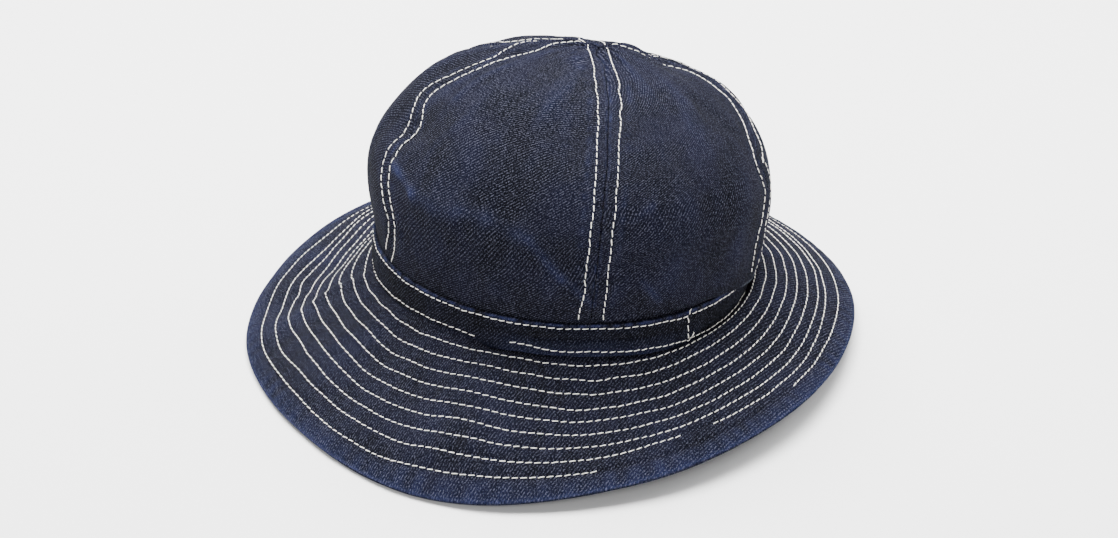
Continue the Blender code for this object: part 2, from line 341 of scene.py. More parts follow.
@dataclass(frozen=True)
class DenimFinish:
    """Raw indigo denim, a right-hand three-by-one twill, rope dyed and washed once.

    The face shows dark warp threads in fine diagonal ribs, with pale dots of
    undyed weft between them. Dye has left the ribs that rub: seams and folds.
    """

    name: str
    ground: str = "#07080d"
    blue: str = "#0b0c16"
    weft: str = "#6f7083"
    faded: str = "#262b49"
    weft_share: float = 0.32
    # A rib is four warp threads of 0.32 mm wide.
    rib_spacing: float = 1.27 * MM
    rib_angle: float = 42.0
    rib_depth: float = 0.22 * MM
    # A weft thread is 0.35 mm wide, and its dots are drawn as coarse as they need to show.
    dot_length: float = 0.9 * MM
    dot_width: float = 0.50 * MM
    nep_size: float = 0.7 * MM
    slub_length: float = 11.0 * MM
    slub_width: float = 0.8 * MM
    wash_size: float = 30.0 * MM
    nep_share: float = 0.5
    slub_share: float = 0.2
    rib_share: float = 0.4
    even_wear: float = 0.45

    def material(self) -> Material:
        """Build the denim from its weave.

        Returns:
            The material.
        """
        material, tree, shader = new_material(self.name, {
            "Roughness": 0.9,
            "Specular IOR Level": 0.01,
            "Sheen Weight": 0.003,
            "Sheen Roughness": 0.6,
        })
        values = self.marks(tree)
        sums = (
            ("patchy", "MULTIPLY", "worn", "patches"),
            ("even", "MULTIPLY", "worn", self.even_wear),
            ("rubbed", "ADD", "patchy", "even"),
            ("rubbed", "MINIMUM", "rubbed", 1.0),
            ("crossed", "MULTIPLY", "bare ribs", "bare dots"),
            ("slubby", "MULTIPLY", "slubs", self.slub_share),
            ("pale", "ADD", "crossed", "slubby"),
            ("flecked", "MULTIPLY", "neps", self.nep_share),
            ("pale", "ADD", "pale", "flecked"),
            ("pale", "MINIMUM", "pale", 1.0),
            ("pale", "MULTIPLY", "pale", self.weft_share),
            ("low ribs", "MULTIPLY", "ribs", self.rib_share),
            ("relief", "ADD", "low ribs", "dots"),
        )
        for result, operation, first, second in sums:
            settings, links = {"operation": operation}, {0: values[first]}
            if second in values:
                links[1] = values[second]
            else:
                settings[1] = second
            values[result] = add_node(tree, "Math", settings, links)
        under = {}
        # The wear attribute also carries the painted highlight on the band's flare, which mixes
        # towards the faded colour.
        for share, over in (("washed", self.blue), ("rubbed", self.faded), ("pale", self.weft)):
            settings = {"data_type": "RGBA", 6: linear(self.ground), 7: linear(over)}
            colour = add_node(tree, "Mix", settings, {0: values[share], **under}, 2)
            under = {6: colour}
        tree.links.new(colour, shader.inputs["Base Color"])
        settings = {"Strength": 0.8, "Distance": self.rib_depth}
        lift = add_node(tree, "Bump", settings, {"Height": values["relief"]})
        tree.links.new(lift, shader.inputs["Normal"])
        return material

    def marks(self, tree: NodeTree) -> dict[str, NodeSocket]:
        """Make everything that marks the cloth, before it is mixed.

        Args:
            tree: The material's node tree.

        Returns:
            Each mark's strength by its name, from 0 to 1.
        """
        cloth = add_node(tree, "UVMap", {"uv_map": "cloth"})
        turned = add_node(
            tree,
            "Mapping",
            {
                "Rotation": (0.0, 0.0, -math.radians(self.rib_angle)),
                "Scale": (1 / MM, 1 / MM, 1.0),
            },
            {"Vector": cloth},
        )
        ribs = add_node(
            tree,
            "TexWave",
            {
                "bands_direction": "Y",
                "Scale": 1 / (WAVES_PER_UNIT * self.rib_spacing / MM),
                "Distortion": 1.0,
                "Detail": 2.0,
                "Detail Scale": 1.4,
            },
            {"Vector": turned},
            "Fac",
        )
        upright = 90.0 - self.rib_angle
        dots = self.grain(tree, cloth, (self.dot_width, self.dot_length), upright, 2.5)
        slubs = self.grain(tree, cloth, (self.slub_width, self.slub_length), 0.0, 2.0)
        wash = self.grain(tree, cloth, (self.wash_size, self.wash_size), 0.0, 4.0)
        neps = self.grain(tree, cloth, (self.nep_size, self.nep_size), 0.0, 1.0)
        marks = {
            "worn": add_node(tree, "Attribute", {"attribute_name": "wear"}, output="Fac"),
            "ribs": ribs,
            "dots": dots,
        }
        shown = (
            ("washed", wash, 0.38, 0.66),
            ("patches", dots, 0.25, 0.75),
            ("bare ribs", ribs, 0.1, 0.9),
            ("bare dots", dots, 0.46, 0.68),
            ("slubs", slubs, 0.6, 0.8),
            ("neps", neps, 0.62, 0.80),
        )
        for name, value, start, end in shown:
            settings = {"interpolation_type": "SMOOTHSTEP", "From Min": start, "From Max": end}
            marks[name] = add_node(tree, "MapRange", settings, {"Value": value})
        return marks

    def grain(
        self,
        tree: NodeTree,
        cloth: NodeSocket,
        size: tuple[float, float],
        lean: float,
        detail: float,
    ) -> NodeSocket:
        """Make uneven marks of a real size on the cloth.

        Args:
            tree: The material's node tree.
            cloth: Places on the cloth in metres.
            size: How wide and how long a mark is, in metres.
            lean: How far it leans from upright, to the right, in degrees.
            detail: How much finer structure it has.

        Returns:
            A value of about 0.2 to 0.8 at each place.
        """
        rotation = {"Rotation": (0.0, 0.0, math.radians(lean))}
        turned = add_node(tree, "Mapping", rotation, {"Vector": cloth})
        scale = {"Scale": (1 / size[0], 1 / size[1], 1.0)}
        scaled = add_node(tree, "Mapping", scale, {"Vector": turned})
        settings = {"noise_dimensions": "2D", "Scale": 1.0, "Detail": detail, "Roughness": 0.6}
        return add_node(tree, "TexNoise", settings, {"Vector": scaled})


@dataclass(frozen=True)
class ThreadFinish:
    """Thick undyed cotton thread, twisted from plies, so light runs round it in a screw; the
    grooves between the plies are painted darker, as painted shade.
    """

    name: str
    cotton: str = "#fffdf8"
    crevice_painted_shade: str = "#e6e2d8"
    twist_pitch: float = 1.1 * MM
    ply_depth: float = 0.1 * MM

    def material(self) -> Material:
        """Build the twisted thread.

        Returns:
            The material.
        """
        settings = {"Roughness": 0.75, "Specular IOR Level": 0.3}
        material, tree, shader = new_material(self.name, settings)
        cloth = add_node(tree, "UVMap", {"uv_map": "cloth"})
        scale = {"Scale": (1 / self.twist_pitch, 1.0, 1.0)}
        scaled = add_node(tree, "Mapping", scale, {"Vector": cloth})
        settings = {"bands_direction": "DIAGONAL", "Scale": 1 / WAVES_PER_UNIT, "Distortion": 0.6}
        plies = add_node(tree, "TexWave", settings, {"Vector": scaled}, "Fac")
        # The grooves between the plies get a darker colour: painted shade.
        settings = {"data_type": "RGBA", 6: linear(self.crevice_painted_shade), 7: linear(self.cotton)}
        colour = add_node(tree, "Mix", settings, {0: plies}, 2)
        tree.links.new(colour, shader.inputs["Base Color"])
        settings = {"Strength": 0.5, "Distance": self.ply_depth}
        lift = add_node(tree, "Bump", settings, {"Height": plies})
        tree.links.new(lift, shader.inputs["Normal"])
        return material


@dataclass(frozen=True)
class PaperFinish:
    """Matt white background paper, seamless and without a sheen."""

    name: str
    white: str = "#f7f7f7"
    pulp_scale: float = 900.0
    pulp_depth: float = 0.1 * MM

    def material(self) -> Material:
        """Build the paper, with the faint unevenness of its pulp.

        Returns:
            The material.
        """
        material, tree, shader = new_material(self.name, {
            "Base Color": linear(self.white),
            "Roughness": 0.95,
            "Specular IOR Level": 0.1,
        })
        pulp = add_node(tree, "TexNoise", {"Scale": self.pulp_scale, "Detail": 2.0})
        settings = {"Strength": 0.05, "Distance": self.pulp_depth}
        lift = add_node(tree, "Bump", settings, {"Height": pulp})
        tree.links.new(lift, shader.inputs["Normal"])
        return material


@dataclass
class Cloth:
    """One piece of cloth as a grid: its section goes round it, and its columns go along it.

    Attributes:
        name: The piece's name.
        points: Points by column and by place round the section.
        places: Metres along and up the flat cloth, for the weave, in the same order.
        wear: How worn the cloth is there, 0 to 1, in the same order; on the band it also holds a
            painted highlight.
        ring: Whether the last column meets the first.
        back_from: First place of the section that shows the cloth's back.
        sharp_from: Sharpest bend in degrees that still looks round.
    """

    name: str
    points: Array
    places: Array
    wear: Array
    ring: bool
    back_from: int
    sharp_from: float = 60.0

    def faces(self) -> list[tuple[int, int, int, int]]:
        """List the faces that close the cloth.

        Returns:
            The corners of each face, first those along the cloth and then its end caps.
        """
        columns, section = self.points.shape[:2]
        faces = []
        for column in range(columns if self.ring else columns - 1):
            here, there = column * section, (column + 1) % columns * section
            for place in range(section):
                after = (place + 1) % section
                faces.append((here + place, there + place, there + after, here + after))
        if not self.ring:
            end = (columns - 1) * section
            for place in range(section // 2 - 1):
                back = section - 1 - place
                faces.append((place, place + 1, back - 1, back))
                faces.append((end + place, end + back, end + back - 1, end + place + 1))
        return faces

    def build(self, face: Material, back: Material) -> Object:
        """Make the cloth's object.

        Args:
            face: The finish of the cloth's face.
            back: The finish of its back.

        Returns:
            The object.
        """
        faces = np.array(self.faces())
        points = self.points.reshape(-1, 3)
        if enclosed(points, faces) < 0:
            faces = faces[:, ::-1]
        places = self.places.reshape(-1, 2)
        thing = new_piece(self.name, points, faces.tolist(), places, (face, back))
        mesh = thing.data
        worn = mesh.attributes.new("wear", "FLOAT", "POINT")
        worn.data.foreach_set("value", self.wear.reshape(-1).astype(np.float32))
        shows_back = (faces % self.points.shape[1]).min(axis=1) >= self.back_from
        mesh.polygons.foreach_set("material_index", shows_back.astype(np.int32))
        mesh.set_sharp_from_angle(angle=math.radians(self.sharp_from))
        mesh.update()
        LOG.info("%s: %d faces", self.name, len(faces))
        return thing


def enclosed(points: Array, faces: Array) -> float:
    """Add up what four-cornered faces enclose.

    Args:
        points: All points.
        faces: The four points of each face.

    Returns:
        Six times the volume, below 0 if the faces look in.
    """
    corner = points[faces]
    halves = ((0, 1, 2), (0, 2, 3))
    return sum(
        float(np.einsum("ij,ij->", corner[:, a], np.cross(corner[:, b], corner[:, c])))
        for a, b, c in halves
    )


@dataclass(frozen=True)
class HeadForm:
    """The oval of the head, and how the soft hat sits on it, in the hat's own frame.

    Where the cloth has slumped over the brim, it hangs out and down, from a
    little above the band's top edge, and both fade out up the crown.
    """

    length: float = 0.200
    width: float = 0.178
    lift: float = 0.033
    tilt_back: float = 4.2
    tilt_side: float = 3.5
    fit_gap: float = 0.3 * MM
    slump_angle: float = 73.0
    slump_width: float = 30.0
    slump_out: float = 2.4 * MM
    slump_down: float = 14.0 * MM
    slump_bulge: float = 0.4
    slump_start: float = 3.0 * MM
    slump_out_fade: float = 45.0 * MM
    slump_down_fade: float = 30.0 * MM

    # Angle, and how many millimetres the band's foot sinks into the brim's crease there.
    foot_drops: ClassVar[Table] = (
        (-180, 0.0), (-150, 3.2), (-120, 4.4), (-90, 4.4), (-75, 2.6), (-60, 1.0), (-45, 0.0),
        (-38, 0.4), (-31, 1.6), (-24, 0.4), (-15, 0.0), (0, 0.0), (15, 0.8), (30, 2.4), (45, 2.0),
        (60, 0.6), (90, 0.0),
    )

    def turn(self) -> Array:
        """Give the turn of the crown and band: front up, left side up.

        Returns:
            A 3 by 3 turn.
        """
        back, side = math.radians(self.tilt_back), math.radians(self.tilt_side)
        about_x = np.array([
            [1.0, 0.0, 0.0],
            [0.0, math.cos(back), math.sin(back)],
            [0.0, -math.sin(back), math.cos(back)],
        ])
        about_y = np.array([
            [math.cos(side), 0.0, math.sin(side)],
            [0.0, 1.0, 0.0],
            [-math.sin(side), 0.0, math.cos(side)],
        ])
        return about_x @ about_y

    def slump(self, angle: Array) -> Array:
        """Give how far the cloth has slumped over the brim, as a share of the most."""
        return bump(turn_between(angle, self.slump_angle), self.slump_width)

    def foot_drop(self, angle: Array) -> Array:
        """Give how far the band's foot sinks into the crease of the brim, in metres."""
        return closed_curve(self.foot_drops, angle) * MM

    def tilt(self, points: Array) -> Array:
        """Bring points from the band's level frame to the hat's frame."""
        return points @ self.turn().T + np.array([0.0, 0.0, self.lift])

    def oval(self, angle: Array, inset: Array | float) -> Pair:
        """Give the head oval, level.

        Args:
            angle: Angles round it in degrees.
            inset: How far inside it, in metres.

        Returns:
            Points and outward normals.
        """
        turn = np.radians(angle)
        half_width, half_length = self.width / 2, self.length / 2
        normal = unit(
            np.stack([np.sin(turn) / half_width, -np.cos(turn) / half_length, 0 * turn], -1)
        )
        point = np.stack([half_width * np.sin(turn), -half_length * np.cos(turn), 0 * turn], -1)
        return point - normal * np.asarray(inset, float)[..., None], normal


@dataclass(frozen=True)
class Stitching:
    """Lockstitches in thick thread, each one a soft sausage that dives in at both ends."""

    pitch: float = 3.8 * MM
    length: float = 3.6 * MM
    length_varies: float = 0.05
    width: float = 0.42 * MM
    height: float = 0.38 * MM
    slant: float = 6.0
    strays: float = 0.04 * MM
    skews: float = 0.05 * MM
    lift: float = 0.13 * MM
    dive: float = 0.40 * MM
    dive_power: int = 5
    taper: float = 0.45
    taper_power: int = 6
    sides: int = 6
    rings: int = 7

    def row(self, path: Array, normal: Array, seed: int) -> Pair:
        """Sew one row along a path.

        Args:
            path: Points on the cloth, in order.
            normal: The way out of the cloth at each.
            seed: Which small unevenness the row has.

        Returns:
            Points by stitch, ring and side, and the places along and round the thread.
        """
        steps = np.linalg.norm(np.diff(path, axis=0), axis=1)
        run = np.concatenate([[0.0], np.cumsum(steps)])
        count = max(1, round(run[-1] / self.pitch))
        draw = np.random.default_rng(seed)
        length = self.length * (1 + draw.normal(0.0, self.length_varies, count))[:, None]
        middle = ((np.arange(count) + 0.5) * run[-1] / count)[:, None]
        share = np.linspace(-1.0, 1.0, self.rings)[None, :]
        at = middle + share * length / 2
        centre = np.stack([np.interp(at, run, path[:, axis]) for axis in range(3)], -1)
        out = unit(np.stack([np.interp(at, run, normal[:, axis]) for axis in range(3)], -1))
        along = unit(np.gradient(centre, axis=1))
        aside = unit(np.cross(along, out))
        across = draw.normal(0.0, self.strays, count)[:, None]
        across = across + draw.normal(0.0, self.skews, count)[:, None] * share
        across = across - math.tan(math.radians(self.slant)) * share * length / 2
        rise = self.lift - (self.lift + self.dive) * np.abs(share) ** self.dive_power + 0 * at
        centre = centre + aside * across[..., None] + out * rise[..., None]
        size = 1.0 - self.taper * np.abs(share) ** self.taper_power + 0 * at
        half_width, half_height = (size * whole / 2 for whole in (self.width, self.height))
        around = np.linspace(0.0, 2 * math.pi, self.sides, endpoint=False)
        points = (
            centre[:, :, None]
            + aside[:, :, None] * (np.cos(around)[:, None] * half_width[..., None, None])
            + out[:, :, None] * (np.sin(around)[:, None] * half_height[..., None, None])
        )
        places = (at[..., None], around / (2 * math.pi))
        return points, np.stack([np.broadcast_to(x, points.shape[:3]) for x in places], -1)

    def build(self, name: str, rows: Sequence[Pair], thread: Material) -> Object:
        """Join rows of stitches into one object.

        Args:
            name: The piece's name.
            rows: Points and places of each row, as row() gives them.
            thread: The thread's finish.

        Returns:
            The object.
        """
        points = np.concatenate([row[0].reshape(-1, 3) for row in rows])
        places = np.concatenate([row[1].reshape(-1, 2) for row in rows])
        one = []
        for ring in range(self.rings - 1):
            for side in range(self.sides):
                after = (side + 1) % self.sides
                start, end = ring * self.sides, (ring + 1) * self.sides
                one.append((start + side, start + after, end + after, end + side))
        one.append(tuple(reversed(range(self.sides))))
        one.append(tuple((self.rings - 1) * self.sides + side for side in range(self.sides)))
        size = self.sides * self.rings
        starts = range(0, len(points), size)
        faces = [tuple(start + corner for corner in face) for start in starts for face in one]
        thing = new_piece(name, points, faces, places, (thread,))
        thing.data.update()
        LOG.info("%s: %d stitches", name, len(starts))
        return thing


@dataclass(frozen=True)
class Crease:
    """A fold, dent or faded line of the crown.

    Attributes:
        path: Its points, as the angle and the share of the way up the crown.
        half_width: How far it reaches to each side, in metres.
        rise: How far it stands out, or in if below 0, in metres.
        wear: How worn its crest is.
        crest: How wide the worn crest is, as a share of the crease.
    """

    path: Table
    half_width: float
    rise: float
    wear: float = 0.0
    crest: float = 0.7


@dataclass(frozen=True)
class Seam:
    """A seam of the crown: the panel that starts at it, its angle at the band, and its line.

    Attributes:
        panel: Name of the panel on its +X side.
        angle: Angle at the band in degrees.
        lean: How far it has turned by the summit, in degrees.
        wander: Share of the way up and degrees that it strays there.
        spread: Share of the way up, and how far off its rows on the -X and +X
            sides are there, as shares of their usual distance.
        ridge: Share of the way up, and how many millimetres its pressed-open
            edges stand up there.
        faded: How worn the whole panel is, 0 to 1.
        ends_at: Other seams at whose lines its rows of stitches end, by number.
    """

    panel: str
    angle: float
    lean: float = 0.0
    wander: Table = ((0.0, 0.0), (1.0, 0.0))
    spread: Table = ((0.0, 1.0, 1.0), (1.0, 1.0, 1.0))
    ridge: Table = ((0.0, 0.0), (1.0, 0.0))
    faded: float = 0.0
    ends_at: tuple[int, ...] = ()


@dataclass
class Crown:
    """The six-panelled crown, with its pressed-open seams, folds and rows of stitches."""

    form: HeadForm
    height: float = 0.0875
    cloth: float = 1.2 * MM
    swell: float = 9.5 * MM
    swell_end: float = 0.625
    lean: float = 5.0 * MM
    puff: float = 2.2 * MM
    band_height: float = 14.5 * MM
    band_cloth: float = 1.5 * MM
    top_right: float = 4.5
    top_back: float = 7.0
    round_across: float = 0.64
    round_up: float = 0.84
    seam_gap: float = 0.3 * MM
    seam_points: int = 140
    seam_ridge: float = 3.0 * MM
    allowance: float = 9.0 * MM
    allowance_edge: float = 0.7 * MM
    allowance_back: float = 0.5 * MM
    back_edge: float = 0.4 * MM
    narrow: float = 12.0 * MM
    row_from_seam: float = 5.6 * MM
    row_stop: float = 0.6 * MM
    row_start: float = 0.005
    row_end: float = 0.995
    row_evening: int = 4
    summit_reach: int = 40
    summit_evening: int = 9
    top_row: float = 0.992
    columns: int = 88
    rows: int = 120
    crowding: float = 0.72
    fold_climb: float = 0.8
    fold_fade_in: float = 8.0
    fade_in: float = 12.0
    ripple_run: float = 0.6
    wear_varies: tuple[float, float] = (0.75, 0.35)
    dent_wear: float = 0.08
    fine_wear: float = 0.05
    seam_fade: tuple[float, float] = (0.35, 0.7)
    edge_fade: tuple[float, float] = (0.5, 1.0)
    cut_evening: int = 20
    # In radians for each metre, and in radians.
    cut_bends: tuple[float, float] = (-20.0, 60.0)
    cut_turn: float = 0.9

    dents: ClassVar[Ripples] = Ripples(5, (6, 17), 60.0, 26)
    dent_height: ClassVar[float] = 0.55 * MM
    fine: ClassVar[Ripples] = Ripples(9, (20, 46), 170.0, 30)
    fine_height: ClassVar[float] = 0.16 * MM
    pressed: ClassVar[float] = 0.35 * MM
    seam_groove: ClassVar[Mark] = Mark(-0.75 * MM, 0.7 * MM)
    row_groove: ClassVar[Mark] = Mark(-0.32 * MM, 0.9 * MM)
    pucker: ClassVar[Mark] = Mark(0.16 * MM, 5.0 * MM, 3.0 * MM)
    seam_rub: ClassVar[Mark] = Mark(0.40, 0.6 * MM, 0.7 * MM)
    edge_rub: ClassVar[Mark] = Mark(0.14, 1.3 * MM)

    # In the order of their angles. The first and the fourth make one line over the summit.
    seams: ClassVar[tuple[Seam, ...]] = (
        Seam(
            "front_right",
            -3.0,
            wander=(
                (0.0, 0.0), (0.1, -0.2), (0.22, -0.7), (0.42, -0.9), (0.54, -0.5), (0.67, -1.0),
                (0.8, -2.9), (0.87, -7.0), (0.92, -15.0), (0.96, -24.0), (1.0, -30.0),
            ),
            faded=0.01,
        ),
        Seam(
            "side_right",
            62.0,
            60.0,
            wander=(
                (0.0, 4.0), (0.05, 2.5), (0.11, -0.9), (0.17, -2.6), (0.2, -1.0), (0.225, 1.2),
                (0.26, 1.2), (0.32, -2.4), (0.37, -6.0), (0.42, -2.7), (0.47, 0.2), (0.5, 4.5),
                (0.52, 5.8), (0.56, 7.2), (0.62, 12.6), (0.66, 15.5), (0.8, 12.0), (1.0, 0.0),
            ),
            spread=(
                (0.0, 1.0, 1.1), (0.10, 1.3, 1.6), (0.36, 1.35, 1.6), (0.46, 1.0, 1.6),
                (0.92, 1.0, 1.65), (1.0, 1.0, 1.4),
            ),
            ridge=((0.36, 0.0), (0.46, 1.5), (0.92, 1.7), (1.0, 0.3)),
        ),
        Seam("back_right", 122.0, ends_at=(1,)),
        Seam("back_left", 179.0),
        Seam("side_left", 233.0, wander=((0.0, 0.0), (0.5, -3.0), (1.0, 0.0)), ends_at=(5,)),
        Seam(
            "front_left",
            286.0,
            -15.0,
            wander=(
                (0.0, -3.2), (0.05, 1.2), (0.1, 3.6), (0.14, 4.2), (0.19, 1.8), (0.27, -2.2),
                (0.36, -3.4), (0.45, -3.9), (0.495, -8.6), (0.545, -13.4), (0.64, -9.0),
                (0.74, -4.6), (0.82, -6.0), (0.88, -14.5), (0.93, -31.5), (1.0, -45.0),
            ),
            spread=(
                (0.0, 0.65, 0.65), (0.2, 0.78, 0.78), (0.34, 1.1, 1.1), (0.6, 1.0, 1.0),
                (0.80, 1.0, 1.0), (0.87, 1.4, 1.0), (1.0, 1.4, 1.0),
            ),
            ridge=((0.70, 0.0), (0.80, 1.6), (0.94, 1.6), (1.0, 0.3)),
        ),
    )
    # Angle, share of the way up, how far it leans in degrees, and then its half
    # length, half width and rise as shares of the crown's height.
    broad_folds: ClassVar[Table] = (
        (-80, 0.44, 25, 0.20, 0.09, -0.036), (-34, 0.22, -20, 0.45, 0.10, 0.014),
        (-45, 0.36, -15, 0.35, 0.10, -0.012), (55, 0.62, 60, 0.25, 0.10, -0.020),
        (28, 0.30, 70, 0.30, 0.12, -0.010), (150, 0.45, 40, 0.35, 0.14, -0.020),
        (-150, 0.55, -30, 0.35, 0.14, -0.018), (-127, 0.60, -30, 0.35, 0.20, 0.032),
        (-146, 0.74, 0, 0.28, 0.14, -0.020), (100, 0.50, 0, 0.30, 0.20, 0.020),
        (120, 0.78, 0, 0.32, 0.16, -0.046),
    )
    creases: ClassVar[tuple[Crease, ...]] = (
        Crease(((-75, 0.32), (-66.5, 0.305), (-60.5, 0.28)), 2.6 * MM, 1.1 * MM, 0.55),
        Crease(
            ((-60.5, 0.28), (-49.8, 0.27), (-37.8, 0.30), (-22.5, 0.255)), 4.5 * MM, 0.8 * MM, 0.18
        ),
        Crease(((-22.5, 0.255), (-12.5, 0.14)), 3.0 * MM, 0.7 * MM, 0.34),
        Crease(((-12.5, 0.14), (-3.0, 0.05)), 3.0 * MM, 0.3 * MM, 0.30),
        Crease(((-71.2, 0.595), (-71.8, 0.71), (-69.2, 0.795)), 4.0 * MM, 0.9 * MM, 0.15),
        Crease(((47.2, 0.715), (54.8, 0.64), (56.0, 0.51)), 4.5 * MM, -1.0 * MM),
        Crease(((10.0, 0.12), (17.0, 0.045)), 2.2 * MM, 0.3 * MM, 0.34),
        Crease(((5.0, 0.33), (10.0, 0.37)), 2.5 * MM, 0.3 * MM, 0.18),
    )

    def inset(self) -> float:
        """Give how far the crown's foot lies inside the band's outer face."""
        return self.band_cloth + self.form.fit_gap

    def plain(self, angle: Array, up: Array) -> Array:
        """Give the crown's smooth form.

        Args:
            angle: Angles in degrees.
            up: -1 at the band's foot, 0 at its top edge, 1 at the summit.

        Returns:
            The points.
        """
        angle, up = together(angle, up)
        turn, climb = np.radians(angle), np.clip(up, 0, 1) * math.pi / 2
        shift = np.sin(climb) ** 2
        way = unit(np.stack([
            np.cos(climb) * np.sin(turn) + shift * math.sin(math.radians(self.top_right)),
            -np.cos(climb) * np.cos(turn) + shift * math.sin(math.radians(self.top_back)),
            np.sin(climb),
        ], -1))
        level = np.hypot(way[..., 0], way[..., 1])
        steep = np.clip(way[..., 2], 0, 1)
        share = np.minimum(np.arcsin(steep) / (math.pi / 2) / self.swell_end, 1)
        half = np.array([self.form.width / 2, self.form.length / 2]) - self.inset()
        flat = way[..., :2] / np.maximum(level, TINY)[..., None]
        flat = flat * (level**self.round_across)[..., None]
        flat = flat * (half + (self.swell * np.sin(math.pi * share))[..., None])
        flat[..., 0] += self.lean * np.sin(climb)
        height = self.band_height * (1 + np.minimum(up, 0))
        height += (self.height - self.inset()) * steep**self.round_up
        out, down = self.slumped(angle, up, height)
        flat += unit(way[..., :2]) * out[..., None]
        return self.form.tilt(np.concatenate([flat, (height - down)[..., None]], -1))

    def slumped(self, angle: Array, up: Array, height: Array) -> Pair:
        """Give how far the cloth has slumped over the band.

        Args:
            angle: Angles in degrees.
            up: Shares of the way up, below 0 behind the band.
            height: Metres above the band's foot.

        Returns:
            How far out and how far down, in metres.
        """
        form = self.form
        slump = form.slump(angle)
        above = np.maximum(height - self.band_height, 0)
        over = 1 - bump(above, form.slump_start)
        out = form.slump_out * (1 + form.slump_bulge * over) * bump(above, form.slump_out_fade)
        down = form.slump_down * slump * over * bump(above, form.slump_down_fade)
        return out * (1 + np.minimum(up, 0)) * slump, down

    def normal(self, angle: Array, up: Array) -> Array:
        """Give the way out of the crown's smooth form."""
        return normals_of(self.plain, angle, up)

    def seam(self, index: int, up: Array) -> Array:
        """Give a seam's angle.

        Args:
            index: Which seam, counted on past the last one for the next turn.
            up: Shares of the way up.

        Returns:
            The angles in degrees.
        """
        seam = self.seams[index % len(self.seams)]
        up = np.clip(up, 0, 1)
        table = np.array(seam.wander)
        wander = smooth_curve(table[:, 0], table[:, 1], up)
        turns = FULL_TURN * (index // len(self.seams))
        return seam.angle + turns + seam.lean * up**2 + wander

    def folds(self, angle: Array, up: Array) -> Array:
        """Give how far the broad folds and dents lift the cloth.

        Args:
            angle: Angles in degrees.
            up: Shares of the way up.

        Returns:
            The lift in metres.
        """
        rise = np.zeros(np.broadcast(angle, up).shape)
        mean_radius = (self.form.length + self.form.width) / 4
        for fold_angle, fold_up, turn, half_length, half_width, share in self.broad_folds:
            radius = mean_radius * np.cos(np.clip(up, 0, 1) * math.pi / 2)
            level = np.radians(turn_between(angle, fold_angle)) * radius
            climb = (up - fold_up) * (self.height + mean_radius) * self.fold_climb
            lean = math.radians(turn)
            length = level * math.cos(lean) + climb * math.sin(lean)
            width = climb * math.cos(lean) - level * math.sin(lean)
            spread = (length / half_length) ** 2 + (width / half_width) ** 2
            rise += share * self.height * np.exp(-spread / self.height**2)
        return rise * np.clip(up * self.fold_fade_in, 0, 1)

    def from_crease(self, crease: Crease, points: Array) -> Array:
        """Measure how far points of the crown are from a crease.

        Args:
            crease: The crease.
            points: Points on the smooth crown.

        Returns:
            Distances in metres.
        """
        path = self.plain(*np.array(crease.path).T)
        nearest = np.full(points.shape[:-1], np.inf)
        for start, end in zip(path[:-1], path[1:]):
            run = end - start
            share = np.clip((points - start) @ run / (run @ run), 0, 1)
            gap = np.linalg.norm(points - start - share[..., None] * run, axis=-1)
            nearest = np.minimum(nearest, gap)
        return nearest

    def panel(self, index: int) -> Cloth:
        """Shape one panel.

        Args:
            index: Which seam the panel starts at.

        Returns:
            The panel's cloth.
        """
        behind_band = [-1.0, -0.5]
        up = np.concatenate([behind_band, np.linspace(0.0, self.top_row, self.rows)])[None, :]
        even = np.linspace(0.0, 1.0, self.columns + 1)[:, None]
        share = even - self.crowding * np.sin(2 * math.pi * even) / (2 * math.pi)
        start, end = self.seam(index, up), self.seam(index + 1, up)
        degree = np.linalg.norm(self.plain(start + 0.5, up) - self.plain(start - 0.5, up), axis=-1)
        margin = self.seam_gap / 2 / degree
        angle = start + margin + (end - start - 2 * margin) * share
        base, out = self.plain(angle, up), self.normal(angle, up)
        width = np.linalg.norm(np.diff(base, axis=0), axis=-1).sum(axis=0)[None, :]
        climbs = np.linalg.norm(np.diff(base[self.columns // 2], axis=0), axis=-1)
        climb = np.concatenate([[0.0], np.cumsum(climbs)])[None, :] - self.band_height
        aside = np.minimum(share, 1 - share) * width
        puff = self.puff * np.sin(math.pi * share) * np.sin(np.clip(up, 0, 1) * math.pi)
        broad = base + out * (puff + self.folds(angle, up))[..., None]
        near_start = share < 0.5
        row = np.where(near_start, self.spread(index, up, 1), self.spread(index + 1, up, -1))
        ridge = np.where(near_start, self.ridge(index, up), self.ridge(index + 1, up))
        lift, wear = self.sewing_relief(index, aside, climb, width, row)
        lift = lift + ridge * bump(aside, self.seam_ridge)
        for crease in self.creases:
            near = self.from_crease(crease, base)
            lift = lift + crease.rise * bump(near, crease.half_width)
            wear = wear + crease.wear * bump(near, crease.crest * crease.half_width)
        dents, fine = self.dents.height(angle, climb), self.fine.height(angle, climb)
        lift = lift + self.dent_height * dents + self.fine_height * fine
        mean, varies = self.wear_varies
        wear = wear * (mean + varies * fine) + self.seams[index].faded
        wear = wear + self.dent_wear * np.clip(dents, 0, 1)
        wear = wear + self.fine_wear * np.clip(fine, 0, 1)
        above = np.clip(up * self.fade_in, 0, 1)
        face = broad + out * (lift * above)[..., None]
        sewn_down = step_down(aside, self.allowance, self.back_edge)
        inner = np.minimum(lift, 0.0) - self.allowance_back * sewn_down
        back = broad + out * (inner * above - self.cloth)[..., None]
        places = self.flattened((share - 0.5) * width, climb, width)
        return Cloth(
            "crown_panel_" + self.seams[index].panel + "_cloth",
            np.concatenate([face, back[:, ::-1]], axis=1),
            np.concatenate([places, places[:, ::-1]], axis=1),
            np.concatenate([np.clip(wear, 0, 1) * above, 0 * wear], axis=1),
            ring=False,
            back_from=face.shape[1],
        )

